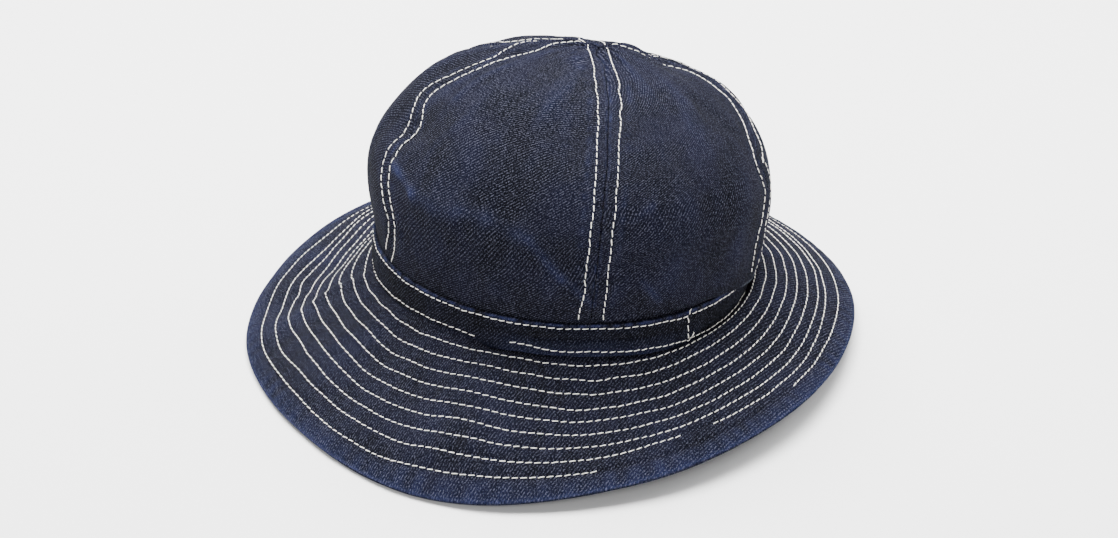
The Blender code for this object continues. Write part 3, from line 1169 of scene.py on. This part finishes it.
    def flattened(self, level: Array, climb: Array, width: Array) -> Array:
        """Lay a panel flat, as it was cut: its level lines are arcs that tighten upwards.

        Args:
            level: Metres from the panel's middle along its level lines.
            climb: Metres up the cloth from the band.
            width: The panel's width there.

        Returns:
            Places on the flat cloth in metres.
        """
        even = evened(width.T, self.cut_evening)[:, 0]
        bend = np.clip(-np.gradient(even, climb[0]) / even, *self.cut_bends)[None, :]
        turned = np.clip(level * bend, -self.cut_turn, self.cut_turn)
        across = level * np.sinc(turned / math.pi)
        onward = climb + level * np.sin(turned / 2) * np.sinc(turned / (2 * math.pi))
        return np.stack([across, onward], -1)

    def sewing_relief(
        self, index: int, aside: Array, climb: Array, width: Array, row: Array
    ) -> Pair:
        """Give what the seams do to the cloth beside them.

        Args:
            index: Which panel.
            aside: Metres from the nearer seam.
            climb: Metres up the cloth from the band.
            width: The panel's width there.
            row: How far the row of stitches is off the seam there.

        Returns:
            The lift in metres, and the wear.
        """
        turns = climb / (self.ripple_run * self.form.length) * FULL_TURN
        pucker = Ripples(20 + index, (14, 30), 0.0, 16).height(turns, 0 * aside)
        fade = Ripples(40 + index, (4, 22), 0.0, 16).height(turns, 0 * aside)
        lift = self.pressed * step_down(aside, self.allowance, self.allowance_edge)
        lift = lift + self.seam_groove.at(aside) + self.row_groove.at(aside - row)
        lift = lift + pucker * self.pucker.at(aside)
        wear = self.seam_rub.at(aside) * uneven(self.seam_fade, fade)
        wear = wear + self.edge_rub.at(aside - self.allowance) * uneven(self.edge_fade, fade)
        return lift * np.clip(width / self.narrow, 0, 1), wear

    def spread(self, index: int, up: Array, sign: int) -> Array:
        """Give how far a seam's row on its -X side (-1) or +X side (1) is off it, in metres."""
        table = np.array(self.seams[index % len(self.seams)].spread)
        return self.row_from_seam * np.interp(up, table[:, 0], table[:, 2 if sign > 0 else 1])

    def ridge(self, index: int, up: Array) -> Array:
        """Give how far a seam's pressed-open edges stand up, in metres."""
        table = np.array(self.seams[index % len(self.seams)].ridge)
        return np.interp(up, table[:, 0], table[:, 1]) * MM

    def seam_line(self, index: int, top: float) -> Array:
        """Give the points of a seam from the band up.

        Args:
            index: Which seam.
            top: Share of the way up where it stops.

        Returns:
            The points.
        """
        up = np.linspace(self.row_start, top, self.seam_points)
        return self.plain(self.seam(index, up), up)

    def middle_line(self) -> Array:
        """Give the line of the front and back seams over the summit, evened out there.

        Returns:
            The points.
        """
        front, back = self.seam_line(0, 1.0), self.seam_line(3, 1.0)
        line = np.concatenate([front, back[-2::-1]])
        summit = slice(len(front) - self.summit_reach, len(front) + self.summit_reach)
        line[summit] = evened(line, self.summit_evening)[summit]
        return line

    def sew(self, surface: BVHTree, stitching: Stitching) -> list[Pair]:
        """Sew the rows beside the seams.

        Args:
            surface: The crown's finished cloth.
            stitching: How they are sewn.

        Returns:
            The rows of stitches.
        """
        middle = self.middle_line()
        rows = []
        for order, index in enumerate((0, 1, 2, 4, 5)):
            line = self.seam_line(index, self.row_end) if index else middle
            up = np.linspace(self.row_start, self.row_end, len(line))
            ends_at = [self.seam_line(other, 1.0) for other in self.seams[index].ends_at]
            others = np.concatenate([middle, *ends_at])
            for sign in (-1, 1):
                path, out = self.beside(line, self.spread(index, up, sign), sign, surface)
                if index:
                    gap = np.linalg.norm(path[:, None] - others[None, :], axis=-1).min(axis=1)
                    keep = np.cumsum(gap < self.row_from_seam + self.row_stop) == 0
                    path, out = path[keep], out[keep]
                rows.append(stitching.row(path, out, seed=100 + 2 * order + int(sign > 0)))
        return rows

    def beside(self, line: Array, offs: Array, sign: int, surface: BVHTree) -> Pair:
        """Lay a row beside a seam.

        Args:
            line: The seam's points.
            offs: How far off the row is at each, in metres.
            sign: -1 for one side of the seam and 1 for the other.
            surface: The crown's finished cloth.

        Returns:
            The row's points on the cloth, and the way out of it at each.
        """
        path, normals = [], []
        along = unit(np.gradient(line, axis=0))
        for point, run, off in zip(line, along, offs):
            _, out, _, _ = surface.find_nearest(Vector(point))
            across = np.cross(run, np.array(out))
            spot, out, _, _ = surface.find_nearest(Vector(point + sign * off * across))
            path.append(spot)
            normals.append(out)
        path, normals = (evened(np.array(rough), self.row_evening) for rough in (path, normals))
        for place in path:
            spot, out, _, _ = surface.find_nearest(Vector(place))
            if (Vector(place) - spot).dot(out) < 0:
                place[:] = spot
        return path, unit(normals)


@dataclass
class Band:
    """The folded strip of denim over the crown's foot, whose end laps over its start."""

    form: HeadForm
    height: float = 14.5 * MM
    cloth: float = 1.5 * MM
    puff: float = 0.22 * MM
    lap_rise: float = 0.8 * MM
    lap_angle: float = 29.0
    lap_length: float = 24.0 * MM
    lap_gap: float = 0.12
    row_from_edge: float = 2.0 * MM
    row_margin: float = 0.8
    row_stray: float = 0.25 * MM
    end_margin: float = 0.9
    end_slant: float = 60.0
    crease_height: float = 7.4 * MM
    crease_angle: float = -4.0
    crease_reach: float = 26.0
    crease_flare: float = 2.4 * MM
    flare_painted_highlight: float = 0.20
    rub_fade: tuple[float, float] = (0.5, 0.6)
    points_per_degree: float = 2.5
    columns: int = 620
    rows: int = 30

    row_groove: ClassVar[Mark] = Mark(-0.30 * MM, 0.8 * MM)
    edge_roll: ClassVar[Mark] = Mark(-0.45 * MM, 0.5 * MM)
    crease: ClassVar[Mark] = Mark(-0.90 * MM, 0.9 * MM)
    top_rub: ClassVar[Mark] = Mark(0.85, 0.7 * MM, -0.5 * MM)
    foot_rub: ClassVar[Mark] = Mark(0.25, 0.7 * MM)
    dents: ClassVar[Ripples] = Ripples(61, (14, 60), 160.0, 26)
    dent_height: ClassVar[float] = 0.20 * MM
    fine: ClassVar[Ripples] = Ripples(62, (90, 150), 300.0, 20)
    fine_height: ClassVar[float] = 0.10 * MM
    fade: ClassVar[Ripples] = Ripples(63, (10, 110), 0.0, 26)

    # The lower row is hidden in the crease between these angles, and rises as it comes
    # out. The half width of that rise is in degrees.
    sunk: ClassVar[tuple[float, float]] = (-36.5, -26.0)
    sunk_rise: ClassVar[Mark] = Mark(2.2 * MM, 8.0)
    # Millimetres on from the band's end and up from its lower row.
    loose_ends: ClassVar[tuple[Table, ...]] = (
        ((0.0, 0.0), (1.4, -0.5), (3.0, 0.5), (4.4, 2.6)),
        ((0.0, 10.3), (0.1, 11.4), (0.9, 12.6), (2.6, 13.2)),
    )

    def lap_turn(self) -> float:
        """Give how many degrees the lap takes up."""
        return math.degrees(self.lap_length / (self.form.length / 2))

    def lapped(self, angle: Array) -> Array:
        """Give how far the strip's own start lifts it, as a share of the lap's rise."""
        behind = self.lap_angle - angle
        return np.clip(2.0 - behind / self.lap_turn(), 0.0, 1.0)

    def stand(self, angle: Array, height: Array, inset: Array | float) -> Pair:
        """Stand the strip on the head oval.

        Args:
            angle: Angles in degrees.
            height: Metres above its lower edge.
            inset: How far inside the oval it is, in metres.

        Returns:
            Points and the way out.
        """
        angle, height = together(angle, height)
        lean = self.form.slump_out * self.form.slump(angle) * height / self.height
        point, out = self.form.oval(angle, inset - lean)
        point[..., 2] += height - self.form.foot_drop(angle) * (1 - height / self.height)
        return self.form.tilt(point), out @ self.form.turn().T

    def face(self, angle: Array, height: Array) -> tuple[Array, Array, Array]:
        """Give the band's outer face with its sewing.

        Args:
            angle: Angles in degrees, at most the lap's own.
            height: Metres above its lower edge.

        Returns:
            Points, the way out, and the wear, with a painted highlight on the flare.
        """
        angle, height = together(angle, height)
        between = (height - self.row_from_edge) / (self.height - 2 * self.row_from_edge)
        lift = self.puff * np.sin(math.pi * np.clip(between, 0, 1))
        for row in (self.row_from_edge, self.height - self.row_from_edge):
            lift = lift + self.row_groove.at(height - row)
        for edge in (0.0, self.height):
            lift = lift + self.edge_roll.at(height - edge)
        creased = bump(turn_between(angle, self.crease_angle) ** 2, self.crease_reach**2)
        lift = lift + creased * self.crease.at(height - self.crease_height)
        flare = creased * np.clip(1 - height / self.crease_height, 0, 1)
        lift = lift + self.crease_flare * flare
        lift = lift + self.dent_height * self.dents.height(angle, height)
        lift = lift + self.fine_height * self.fine.height(angle, height)
        fade = uneven(self.rub_fade, self.fade.height(angle, 0 * height))
        wear = fade * (self.top_rub.at(height - self.height) + self.foot_rub.at(height))
        # The flared foot, which faces up, is painted paler: painted highlight, carried with the
        # wear.
        wear = wear + self.flare_painted_highlight * np.sqrt(flare)
        point, out = self.stand(angle, height, -self.lap_rise * self.lapped(angle) - lift)
        return point, out, np.clip(wear, 0, 1)

    def strip(self) -> Cloth:
        """Shape the band from its start under the lap, once round, to its end.

        Returns:
            The band's cloth.
        """
        start = self.lap_angle - FULL_TURN + self.lap_gap
        angle = np.linspace(start, self.lap_angle, self.columns)[:, None]
        height = np.linspace(0.0, self.height, self.rows)[None, :]
        face, _, wear = self.face(angle, height)
        back, _ = self.stand(angle, height, self.cloth)
        around = np.radians(angle) * self.form.length / 2
        places = np.stack([around + 0 * height, height + 0 * angle], -1)
        return Cloth(
            "hat_band_cloth",
            np.concatenate([face, back[:, ::-1]], axis=1),
            np.concatenate([places, places[:, ::-1]], axis=1),
            np.concatenate([wear, 0 * wear], axis=1),
            ring=False,
            back_from=2 * self.rows,
        )

    def sew(self, stitching: Stitching) -> list[Pair]:
        """Sew the band's two rows, its end and the two loose thread ends.

        Args:
            stitching: How they are sewn.

        Returns:
            The rows of stitches.
        """
        rows = []
        first = self.lap_angle - FULL_TURN + self.row_margin
        last = self.lap_angle - self.row_margin
        low, high = self.row_from_edge, self.height - self.row_from_edge
        runs = ((low, first, self.sunk[0]), (low, self.sunk[1], last), (high, first, last))
        for order, (height, start, end) in enumerate(runs):
            angle = np.linspace(start, end, round(self.points_per_degree * (end - start)))
            waver = Ripples(70 + int(height == high), (8, 40), 0.0, 20)
            stray = self.row_stray * waver.height(angle, 0 * angle)
            if start == self.sunk[1]:
                stray = stray + self.sunk_rise.at(angle - start)
            path, out, _ = self.face(angle, height + stray)
            rows.append(stitching.row(path, out, seed=130 + order))
        height = np.linspace(low, high, 40)
        end = self.lap_angle - self.end_margin
        path, out, _ = self.face(end - self.end_slant * (height - self.height / 2), height)
        rows.append(stitching.row(path, out, seed=140))
        for thread_end in self.loose_ends:
            share = np.linspace(0.0, 1.0, 12)
            places = np.linspace(0.0, 1.0, len(thread_end))
            across, up = (
                smooth_curve(places, column, share) * MM for column in np.array(thread_end).T
            )
            angle = end + np.degrees(across / (self.form.length / 2))
            path, out, _ = self.face(angle, self.row_from_edge + up)
            rows.append(stitching.row(path, out, seed=141))
        return rows


@dataclass
class Brim:
    """The two-ply brim with its nine rows of stitches, from the band's foot to the rim."""

    form: HeadForm
    reach: float = 0.065
    ply: float = 1.1 * MM
    edge_roll: float = 2.4 * MM
    roll_power: int = 7
    wave: float = 4.0 * MM
    wave_spread: float = 0.3
    wave_power: int = 4
    crease_reach: float = 0.05
    sag_power: int = 6
    ridge_round: float = 0.3
    first_row: float = 0.07
    last_row: float = 0.845
    row_count: int = 9
    row_stray: float = 0.24 * MM
    root: float = 0.03
    columns: int = 760
    face_rows: int = 96
    hidden_rows: int = 10
    arc_points: int = 5
    points_per_degree: int = 4
    broad_fade_in: float = 4.0
    broad_wear: float = 0.05
    hump_wear: float = 0.05
    hump_fade: tuple[float, float] = (0.5, 0.7)
    # Beyond the last row: how much higher the cloth puffs up, and how worn it is.
    margin_puff: float = 1.6
    margin_wear: tuple[float, float] = (0.24, 0.12)

    pucker: ClassVar[Ripples] = Ripples(90, (70, 130), 190.0, 30)
    pucker_height: ClassVar[float] = 0.14 * MM
    hump_height: ClassVar[float] = 0.26 * MM
    broad: ClassVar[Ripples] = Ripples(91, (7, 26), 45.0, 24)
    broad_height: ClassVar[float] = 0.35 * MM
    row_groove: ClassVar[Mark] = Mark(-0.16 * MM, 0.7 * MM)
    margin_groove: ClassVar[Mark] = Mark(-0.35 * MM, 1.0 * MM, 1.1 * MM)
    rim_rub: ClassVar[Mark] = Mark(0.35, 1.2 * MM)

    # Angle, then the reach as a share of the brim's, the rim's height as a share of the
    # head's lift, and the bow between the band and the rim as a share of the reach.
    sections: ClassVar[Table] = (
        (-180, 0.91, -0.08, 0.02), (-150, 0.90, -0.07, 0.00), (-120, 0.875, -0.03, -0.05),
        (-90, 0.96, -0.02, 0.03), (-60, 0.98, -0.02, 0.01), (-30, 1.06, 0.00, -0.01),
        (0, 0.90, 0.20, -0.06), (30, 0.78, 0.33, -0.06), (60, 0.76, 0.25, -0.01),
        (90, 0.85, 0.10, 0.03), (120, 0.90, -0.02, 0.03), (150, 0.91, -0.07, 0.02),
    )
    # Angle, and the rise beside the band as a share of the brim's reach.
    shoulders: ClassVar[Table] = (
        (-180, 0.0), (-150, -0.050), (-120, -0.068), (-90, -0.068), (-75, -0.040), (-60, -0.015),
        (-45, 0.0), (-20, 0.005), (0, 0.010), (15, 0.018), (30, 0.065), (45, 0.090), (60, 0.112),
        (90, 0.100), (120, 0.050), (150, 0.010),
    )
    # Angle, half width in degrees, rise as a share of a wave, and where it is highest.
    waves: ClassVar[Table] = (
        (-117, 18, -4.70, 0.40), (-99, 5, -0.80, 0.60), (-93, 10, -1.00, 0.70),
        (-90, 5, 0.70, 0.75), (-32, 4, 0.45, 0.70), (-22, 5, -0.30, 0.60), (38, 9, -0.40, 0.70),
        (140, 10, 0.50, 0.70),
    )
    # Angle, half width in degrees, rise in millimetres, where it is highest and its spread.
    swells: ClassVar[Table] = (
        (-31, 10, 2.8, 0.40, 0.50), (-19, 9, 1.9, 0.40, 0.50), (-27, 6, 2.2, 0.62, 0.22),
        (-57, 9, -2.1, 0.50, 0.60), (-70, 8, 1.4, 0.45, 0.30), (-92, 3.5, 1.5, 0.25, 0.25),
        (52, 9, -2.4, 0.66, 0.27), (-100, 8, -2.2, 0.14, 0.12), (-114, 12, 2.0, 0.84, 0.10),
    )
    # Angle of the crest at the band, how far it turns by the rim and half width in
    # degrees, the fall behind it in millimetres, where it is steepest and its spread.
    ridges: ClassVar[Table] = (
        (-94.5, 10.0, 3.5, 1.9, 0.50, 0.42), (-101.0, 0.0, 3.0, 2.0, 0.62, 0.14),
    )
    # Row, angle, half width in degrees, and how far it strays as a share of the way.
    strays: ClassVar[Table] = (
        (8, -132, 12, -0.022), (8, -86, 8, 0.020), (7, -130, 14, -0.058), (7, -101, 8, -0.020),
        (7, -82, 9, 0.035), (6, -125, 10, -0.022), (6, -112, 5, 0.014), (6, -105, 4, -0.018),
        (6, -89, 5, 0.016), (5, -106, 4, -0.018), (5, -88, 6, 0.012), (4, -92, 4, 0.010),
        (3, -107, 5, -0.014), (3, -92, 4, 0.012), (2, -100, 5, 0.012), (2, -92, 4, -0.014),
        (1, -102, 5, 0.017), (1, -93, 5, -0.013), (8, -80, 22, 0.018), (8, -45, 20, 0.018),
        (8, 50, 30, -0.012), (7, 95, 30, -0.040), (3, -5, 14, 0.012), (7, 12, 10, -0.022),
    )
    # Rows that stop short on the face, and the angles between which they run.
    shown: ClassVar[dict[int, tuple[float, float]]] = {7: (20.0, 373.0), 8: (42.0, 356.0)}

    def top(self, angle: Array, along: Array) -> Array:
        """Give the brim's smooth top face.

        Args:
            angle: Angles in degrees.
            along: Shares of the way to the rim.

        Returns:
            The points.
        """
        angle, along = together(angle, along)
        start, normal = self.form.oval(angle, 0.0)
        start = self.form.tilt(start)
        out = normal @ self.form.turn().T
        out[..., 2] = 0.0
        out = unit(out)
        reach, rim_share, bow = (closed_curve(self.sections, angle, column) for column in (1, 2, 3))
        rim = 2 * self.ply + self.form.fit_gap + self.form.lift * rim_share
        foot = start[..., 2] - 2 * self.form.fit_gap
        height = foot + (rim - foot) * along
        height += self.reach * bow * 4 * along * (1 - along)
        height += self.edge_roll * along * (1 - along**self.roll_power)
        for wave_angle, half_width, rise, peak in self.waves:
            across = bump(turn_between(angle, wave_angle), half_width)
            onward = bump(along - peak, self.wave_spread) * along * (1 - along**self.wave_power)
            height += self.wave * rise * across * onward
        height += self.sag(angle, along)
        point = start + out * (self.reach * reach * along)[..., None]
        point[..., 2] = height
        return point

    def sag(self, angle: Array, along: Array) -> Array:
        """Give how the brim rises or sinks beside the band, and its swells and ridges.

        Args:
            angle: Angles in degrees.
            along: Shares of the way to the rim.

        Returns:
            The rise in metres.
        """
        onward = np.clip(along, 0, 1)
        crease = bump(onward, self.crease_reach)
        shoulder = closed_curve(self.shoulders, angle)
        fade = (1 - onward) ** np.where(shoulder < 0, 2.0, 1.0)
        rise = self.reach * shoulder * fade * (1 - crease) - self.form.foot_drop(angle) * crease
        ends = (1 - crease) * (1 - onward**self.sag_power)
        for swell_angle, half_width, height, peak, spread in self.swells:
            across = bump(turn_between(angle, swell_angle), half_width)
            rise = rise + height * MM * across * bump(onward - peak, spread) * ends
        for crest, slant, half_width, fall, peak, spread in self.ridges:
            behind = np.clip(turn_between(crest + slant * onward, angle) / half_width, 0, None)
            behind = np.hypot(behind, self.ridge_round) - self.ridge_round
            drop = fall * MM * behind * np.exp(1 - behind)
            rise = rise - drop * bump(onward - peak, spread) * ends
        return rise

    def up(self, angle: Array, along: Array) -> Array:
        """Give the way up out of the brim's smooth top face."""
        return -normals_of(self.top, angle, along)

    def row_place(self, row: int, angle: Array) -> Array:
        """Give how far along the brim a row of stitches runs.

        Args:
            row: Which row, 0 being the nearest to the band.
            angle: Angles in degrees.

        Returns:
            Shares of the way to the rim.
        """
        even = self.first_row + (self.last_row - self.first_row) * row / (self.row_count - 1)
        waver = Ripples(80 + row, (5, 42), 0.0, 22)
        angle = np.asarray(angle, float)
        stray = self.row_stray / self.reach * waver.height(angle, 0 * angle)
        for strayed, centre, half_width, shift in self.strays:
            if strayed == row:
                stray = stray + shift * bump(turn_between(angle, centre), half_width)
        return even + stray

    def quilting(self, angle: Array, along: Array) -> Pair:
        """Give what the rows of stitches do to the cloth.

        Args:
            angle: Angles in degrees.
            along: Shares of the way to the rim.

        Returns:
            The lift in metres, and the wear.
        """
        reach = self.reach * closed_curve(self.sections, angle, 1)
        place = along * reach
        edges = [self.row_place(row, angle) * reach for row in range(self.row_count)]
        pucker = self.pucker.height(angle, place)
        broad = self.broad.height(angle, place)
        lift = self.broad_height * broad * np.clip(along * self.broad_fade_in, 0, 1)
        wear = self.broad_wear * np.clip(broad, 0, 1)
        for start, end in zip(edges, (*edges[1:], reach)):
            hump = np.sin(math.pi * np.clip((place - start) / (end - start), 0, 1))
            last = self.margin_puff if end is reach else 1.0
            lift = lift + last * (self.hump_height + self.pucker_height * pucker) * hump
            wear = wear + self.hump_wear * last * hump * uneven(self.hump_fade, pucker)
        for row in edges:
            lift = lift + self.row_groove.at(place - row)
        lift = lift + self.margin_groove.at(place - edges[-1])
        margin = np.clip((place - edges[-1]) / (reach - edges[-1]), 0, 1)
        mean, varies = self.margin_wear
        wear = wear + margin * (mean + varies * pucker) + self.rim_rub.at(reach - place)
        return lift, np.clip(wear, 0, 1)

    def ply_cloth(self, name: str, depth: float, side: Side) -> Cloth:
        """Shape one ply, whose fine side is its outer one.

        Args:
            name: The piece's name.
            depth: How far the ply's top lies under the brim's top, in metres.
            side: Which side of the ply shows.

        Returns:
            The ply's cloth.
        """
        turned = 0.5 * self.ply / self.reach
        fine = np.linspace(-self.root, 1 - turned, self.face_rows)
        coarse = np.linspace(-self.root, 1 - turned, self.hidden_rows)
        arc = np.linspace(0, math.pi, self.arc_points + 2)[1:-1]
        upper, lower = (fine, coarse) if side is Side.FACE else (coarse, fine)
        along = np.concatenate([upper, 1 - turned + turned * np.sin(arc), lower[::-1]])[None, :]
        inward = np.concatenate([0 * upper, (1 - np.cos(arc)) / 2, 1 + 0 * lower])[None, :]
        angle = np.linspace(0.0, FULL_TURN, self.columns, endpoint=False)[:, None]
        out = self.up(angle, along)
        lift, wear = self.quilting(angle, along)
        shown = (1 - inward) if side is Side.FACE else inward
        sink = depth + inward * self.ply
        points = self.top(angle, along) + out * (lift * shown**2 * side.value - sink)[..., None]
        floor = 2 * self.ply + self.form.fit_gap - sink
        points[..., 2] = np.maximum(points[..., 2], floor)
        places = points[..., :2].copy()
        return Cloth(name, points, places, wear * shown, ring=True, back_from=points.shape[1])

    def sew(self, stitching: Stitching, side: Side) -> list[Pair]:
        """Sew the nine rows, as they show on one side.

        Args:
            stitching: How they are sewn.
            side: The side of the brim.

        Returns:
            The rows of stitches.
        """
        rows = []
        on_face = side is Side.FACE
        depth = 0.0 if on_face else 2 * self.ply + self.form.fit_gap
        for row in range(self.row_count):
            whole = (0.0, FULL_TURN)
            start, end = self.shown.get(row, whole) if on_face else whole
            angle = np.linspace(start, end, round(self.points_per_degree * (end - start)) + 1)
            along = self.row_place(row, angle)
            out = self.up(angle, along)
            lift, _ = self.quilting(angle, along)
            path = self.top(angle, along) + out * (lift * side.value - depth)[..., None]
            seed = (150 if on_face else 170) + row
            rows.append(stitching.row(path, out * side.value, seed))
        return rows


@dataclass
class Hat:
    """The whole hat: its cloth, its sewing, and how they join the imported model."""

    form: HeadForm
    crown: Crown
    band: Band
    brim: Brim

    def shift(self) -> Array:
        """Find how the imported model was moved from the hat's own frame.

        Returns:
            What to add to a point of the hat's frame.
        """
        low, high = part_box("hat_band")
        angle = np.linspace(0.0, FULL_TURN, 721)[:, None]
        before_lap = self.band.lap_angle - (self.band.lap_angle - angle) % FULL_TURN
        lapped = self.band.lap_rise * self.band.lapped(before_lap)
        ring, _ = self.form.oval(angle + np.zeros((1, 2)), -lapped)
        ring[..., 2] += np.array([0.0, self.band.height])
        ring = self.form.tilt(ring).reshape(-1, 3)
        return (np.array(low) + np.array(high)) / 2 - (ring.min(axis=0) + ring.max(axis=0)) / 2

    def place(self, thing: Object, shift: Array, slot: Slot | None, node: str | None) -> None:
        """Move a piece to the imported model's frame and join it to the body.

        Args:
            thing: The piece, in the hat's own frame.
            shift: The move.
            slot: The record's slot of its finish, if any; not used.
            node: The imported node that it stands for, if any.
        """
        thing.data.transform(Matrix.Translation(Vector(shift)))
        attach(thing, "root")
        if node is not None:
            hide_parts(node)

    def dress(self, shift: Array) -> None:
        """Build every piece of the hat.

        Args:
            shift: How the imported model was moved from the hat's own frame.
        """
        LOG.info("shift of the packed model: %s", np.round(shift, 5).tolist())
        face = DenimFinish("indigo_denim_face").material()
        inside = DenimFinish(
            "indigo_denim_back",
            ground="#1d2027",
            blue="#282c36",
            weft="#8f939b",
            faded="#4c515d",
            rib_angle=138.0,
        ).material()
        # The band's denim is a darker copy of the face's denim: painted shade for the band, which
        # sits in the shade under the crown.
        strip = DenimFinish(
            "indigo_denim_band_painted_shade", ground="#050608", blue="#090b13", weft_share=0.25
        ).material()
        thread = ThreadFinish("twisted_cotton_thread").material()
        panels = [self.crown.panel(index) for index in range(len(self.crown.seams))]
        lower = self.brim.ply + self.form.fit_gap
        cloths = [(panel, inside, Slot.DENIM) for panel in panels] + [
            (self.band.strip(), strip, Slot.BAND),
            (self.brim.ply_cloth("brim_upper_ply_cloth", 0.0, Side.FACE), face, Slot.DENIM),
            (self.brim.ply_cloth("brim_lower_ply_cloth", lower, Side.UNDER), face, Slot.DENIM),
        ]
        for cloth, back, slot in cloths:
            outer = strip if slot is Slot.BAND else face
            self.place(cloth.build(outer, back), shift, slot, cloth.name.removesuffix("_cloth"))
        fine, plain = Stitching(), Stitching(sides=5, rings=5)
        sewn = (
            ("stitches_of_the_crown", fine, self.crown.sew(self.outside(panels), fine)),
            ("stitches_of_the_band", fine, self.band.sew(fine)),
            ("stitches_on_the_brim", fine, self.brim.sew(fine, Side.FACE)),
            ("stitches_under_the_brim", plain, self.brim.sew(plain, Side.UNDER)),
        )
        for name, stitching, rows in sewn:
            self.place(stitching.build(name, rows, thread), shift, None, None)

    def outside(self, panels: Sequence[Cloth]) -> BVHTree:
        """Gather the crown's outer face for the sewing to lie on.

        Args:
            panels: The crown's panels.

        Returns:
            The surface, which gives the nearest point and the way out.
        """
        points, faces = [], []
        for cloth in panels:
            columns, rows = cloth.points.shape[0], cloth.back_from
            base = len(points)
            points.extend(cloth.points[:, :rows].reshape(-1, 3).tolist())
            for column in range(columns - 1):
                for row in range(rows - 1):
                    start = base + column * rows + row
                    faces.append((start, start + rows, start + rows + 1, start + 1))
        return BVHTree.FromPolygons(points, faces)


@dataclass(frozen=True)
class SoftBox:
    """A big soft light.

    Attributes:
        name: Its name.
        place: Where it hangs, in metres.
        size: Its width and height, in metres.
        power: In watts.
    """

    name: str
    place: tuple[float, float, float]
    size: tuple[float, float]
    power: float


@dataclass
class Studio:
    """The plain white floor, the soft lights and the camera."""

    azimuth: float = -10.0
    elevation: float = 28.0
    distance: float = 1.25
    target: tuple[float, float, float] = (-0.003, 0.004, 0.060)
    focal_px: float = 2637.5
    image: tuple[int, int] = (1118, 538)
    target_px: tuple[float, float] = (552.0, 208.0)
    sensor: float = 36.0
    nearest: float = 0.05
    floor_half: float = 3.0
    floor_depth: float = 0.1 * MM
    lit: tuple[float, float, float] = (0.0, 0.0, 0.05)
    sky: float = 0.29
    sky_colour: str = "#ffffff"

    lights: ClassVar[tuple[SoftBox, ...]] = (
        SoftBox("overhead_softbox", (-0.04, 0.45, 1.35), (1.5, 1.3), 127.0),
        SoftBox("front_softbox", (-0.5, -1.6, 0.9), (1.2, 1.0), 18.0),
        SoftBox("right_softbox", (1.4, 0.3, 0.9), (0.9, 0.9), 14.0),
    )

    def build(self, shift: Array) -> None:
        """Set up the studio.

        Args:
            shift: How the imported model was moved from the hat's own frame.
        """
        self.lay_floor()
        self.hang_lights()
        self.aim_camera(shift)

    def lay_floor(self) -> None:
        """Lay the white paper that the hat rests on."""
        half = self.floor_half
        corners = [(-half, -half), (half, -half), (half, half), (-half, half)]
        mesh = bpy.data.meshes.new("paper_floor")
        mesh.from_pydata([(x, y, -self.floor_depth) for x, y in corners], [], [(0, 1, 2, 3)])
        mesh.materials.append(PaperFinish("matt_white_paper").material())
        floor = add_object("paper_floor", mesh)

    def hang_lights(self) -> None:
        """Hang the soft lights and light the room evenly."""
        for box in self.lights:
            lamp = bpy.data.lights.new(box.name, "AREA")
            lamp.shape = "RECTANGLE"
            lamp.size, lamp.size_y = box.size
            lamp.energy = box.power
            thing = add_object(box.name, lamp)
            thing.location = box.place
            beam = Vector(self.lit) - Vector(box.place)
            thing.rotation_euler = beam.to_track_quat("-Z", "Y").to_euler()
        world = bpy.data.worlds.new("even_room_light")
        world.use_nodes = True
        room = world.node_tree.nodes["Background"]
        room.inputs["Color"].default_value = linear(self.sky_colour)
        room.inputs["Strength"].default_value = self.sky
        bpy.context.scene.world = world

    def aim_camera(self, shift: Array) -> None:
        """Put the camera where the photograph was taken from.

        Args:
            shift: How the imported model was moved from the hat's own frame.
        """
        turn, rise = math.radians(self.azimuth), math.radians(self.elevation)
        level = math.cos(rise)
        back = Vector((math.sin(turn) * level, -math.cos(turn) * level, math.sin(rise)))
        right = Vector((math.cos(turn), math.sin(turn), 0.0))
        upward = back.cross(right)
        target = Vector(self.target) + Vector(shift)
        metres_per_px = self.distance / self.focal_px
        aside = (self.image[0] / 2 - self.target_px[0]) * metres_per_px
        below = (self.image[1] / 2 - self.target_px[1]) * metres_per_px
        place = target + back * self.distance
        aim = target + right * aside - upward * below
        lens = bpy.data.cameras.new("photo_camera")
        lens.sensor_width = self.sensor
        lens.lens = self.focal_px / self.image[0] * self.sensor
        lens.clip_start = self.nearest
        camera = add_object("photo_camera", lens)
        camera.location = place
        camera.rotation_euler = (aim - place).to_track_quat("-Z", "Y").to_euler()
        bpy.context.scene.camera = camera


def main() -> None:
    """Build the hat and its studio."""
    logging.basicConfig(level=logging.INFO)
    form = HeadForm()
    hat = Hat(form, Crown(form), Band(form), Brim(form))
    shift = hat.shift()
    hat.dress(shift)
    Studio().build(shift)


if __name__ == "__main__":
    main()
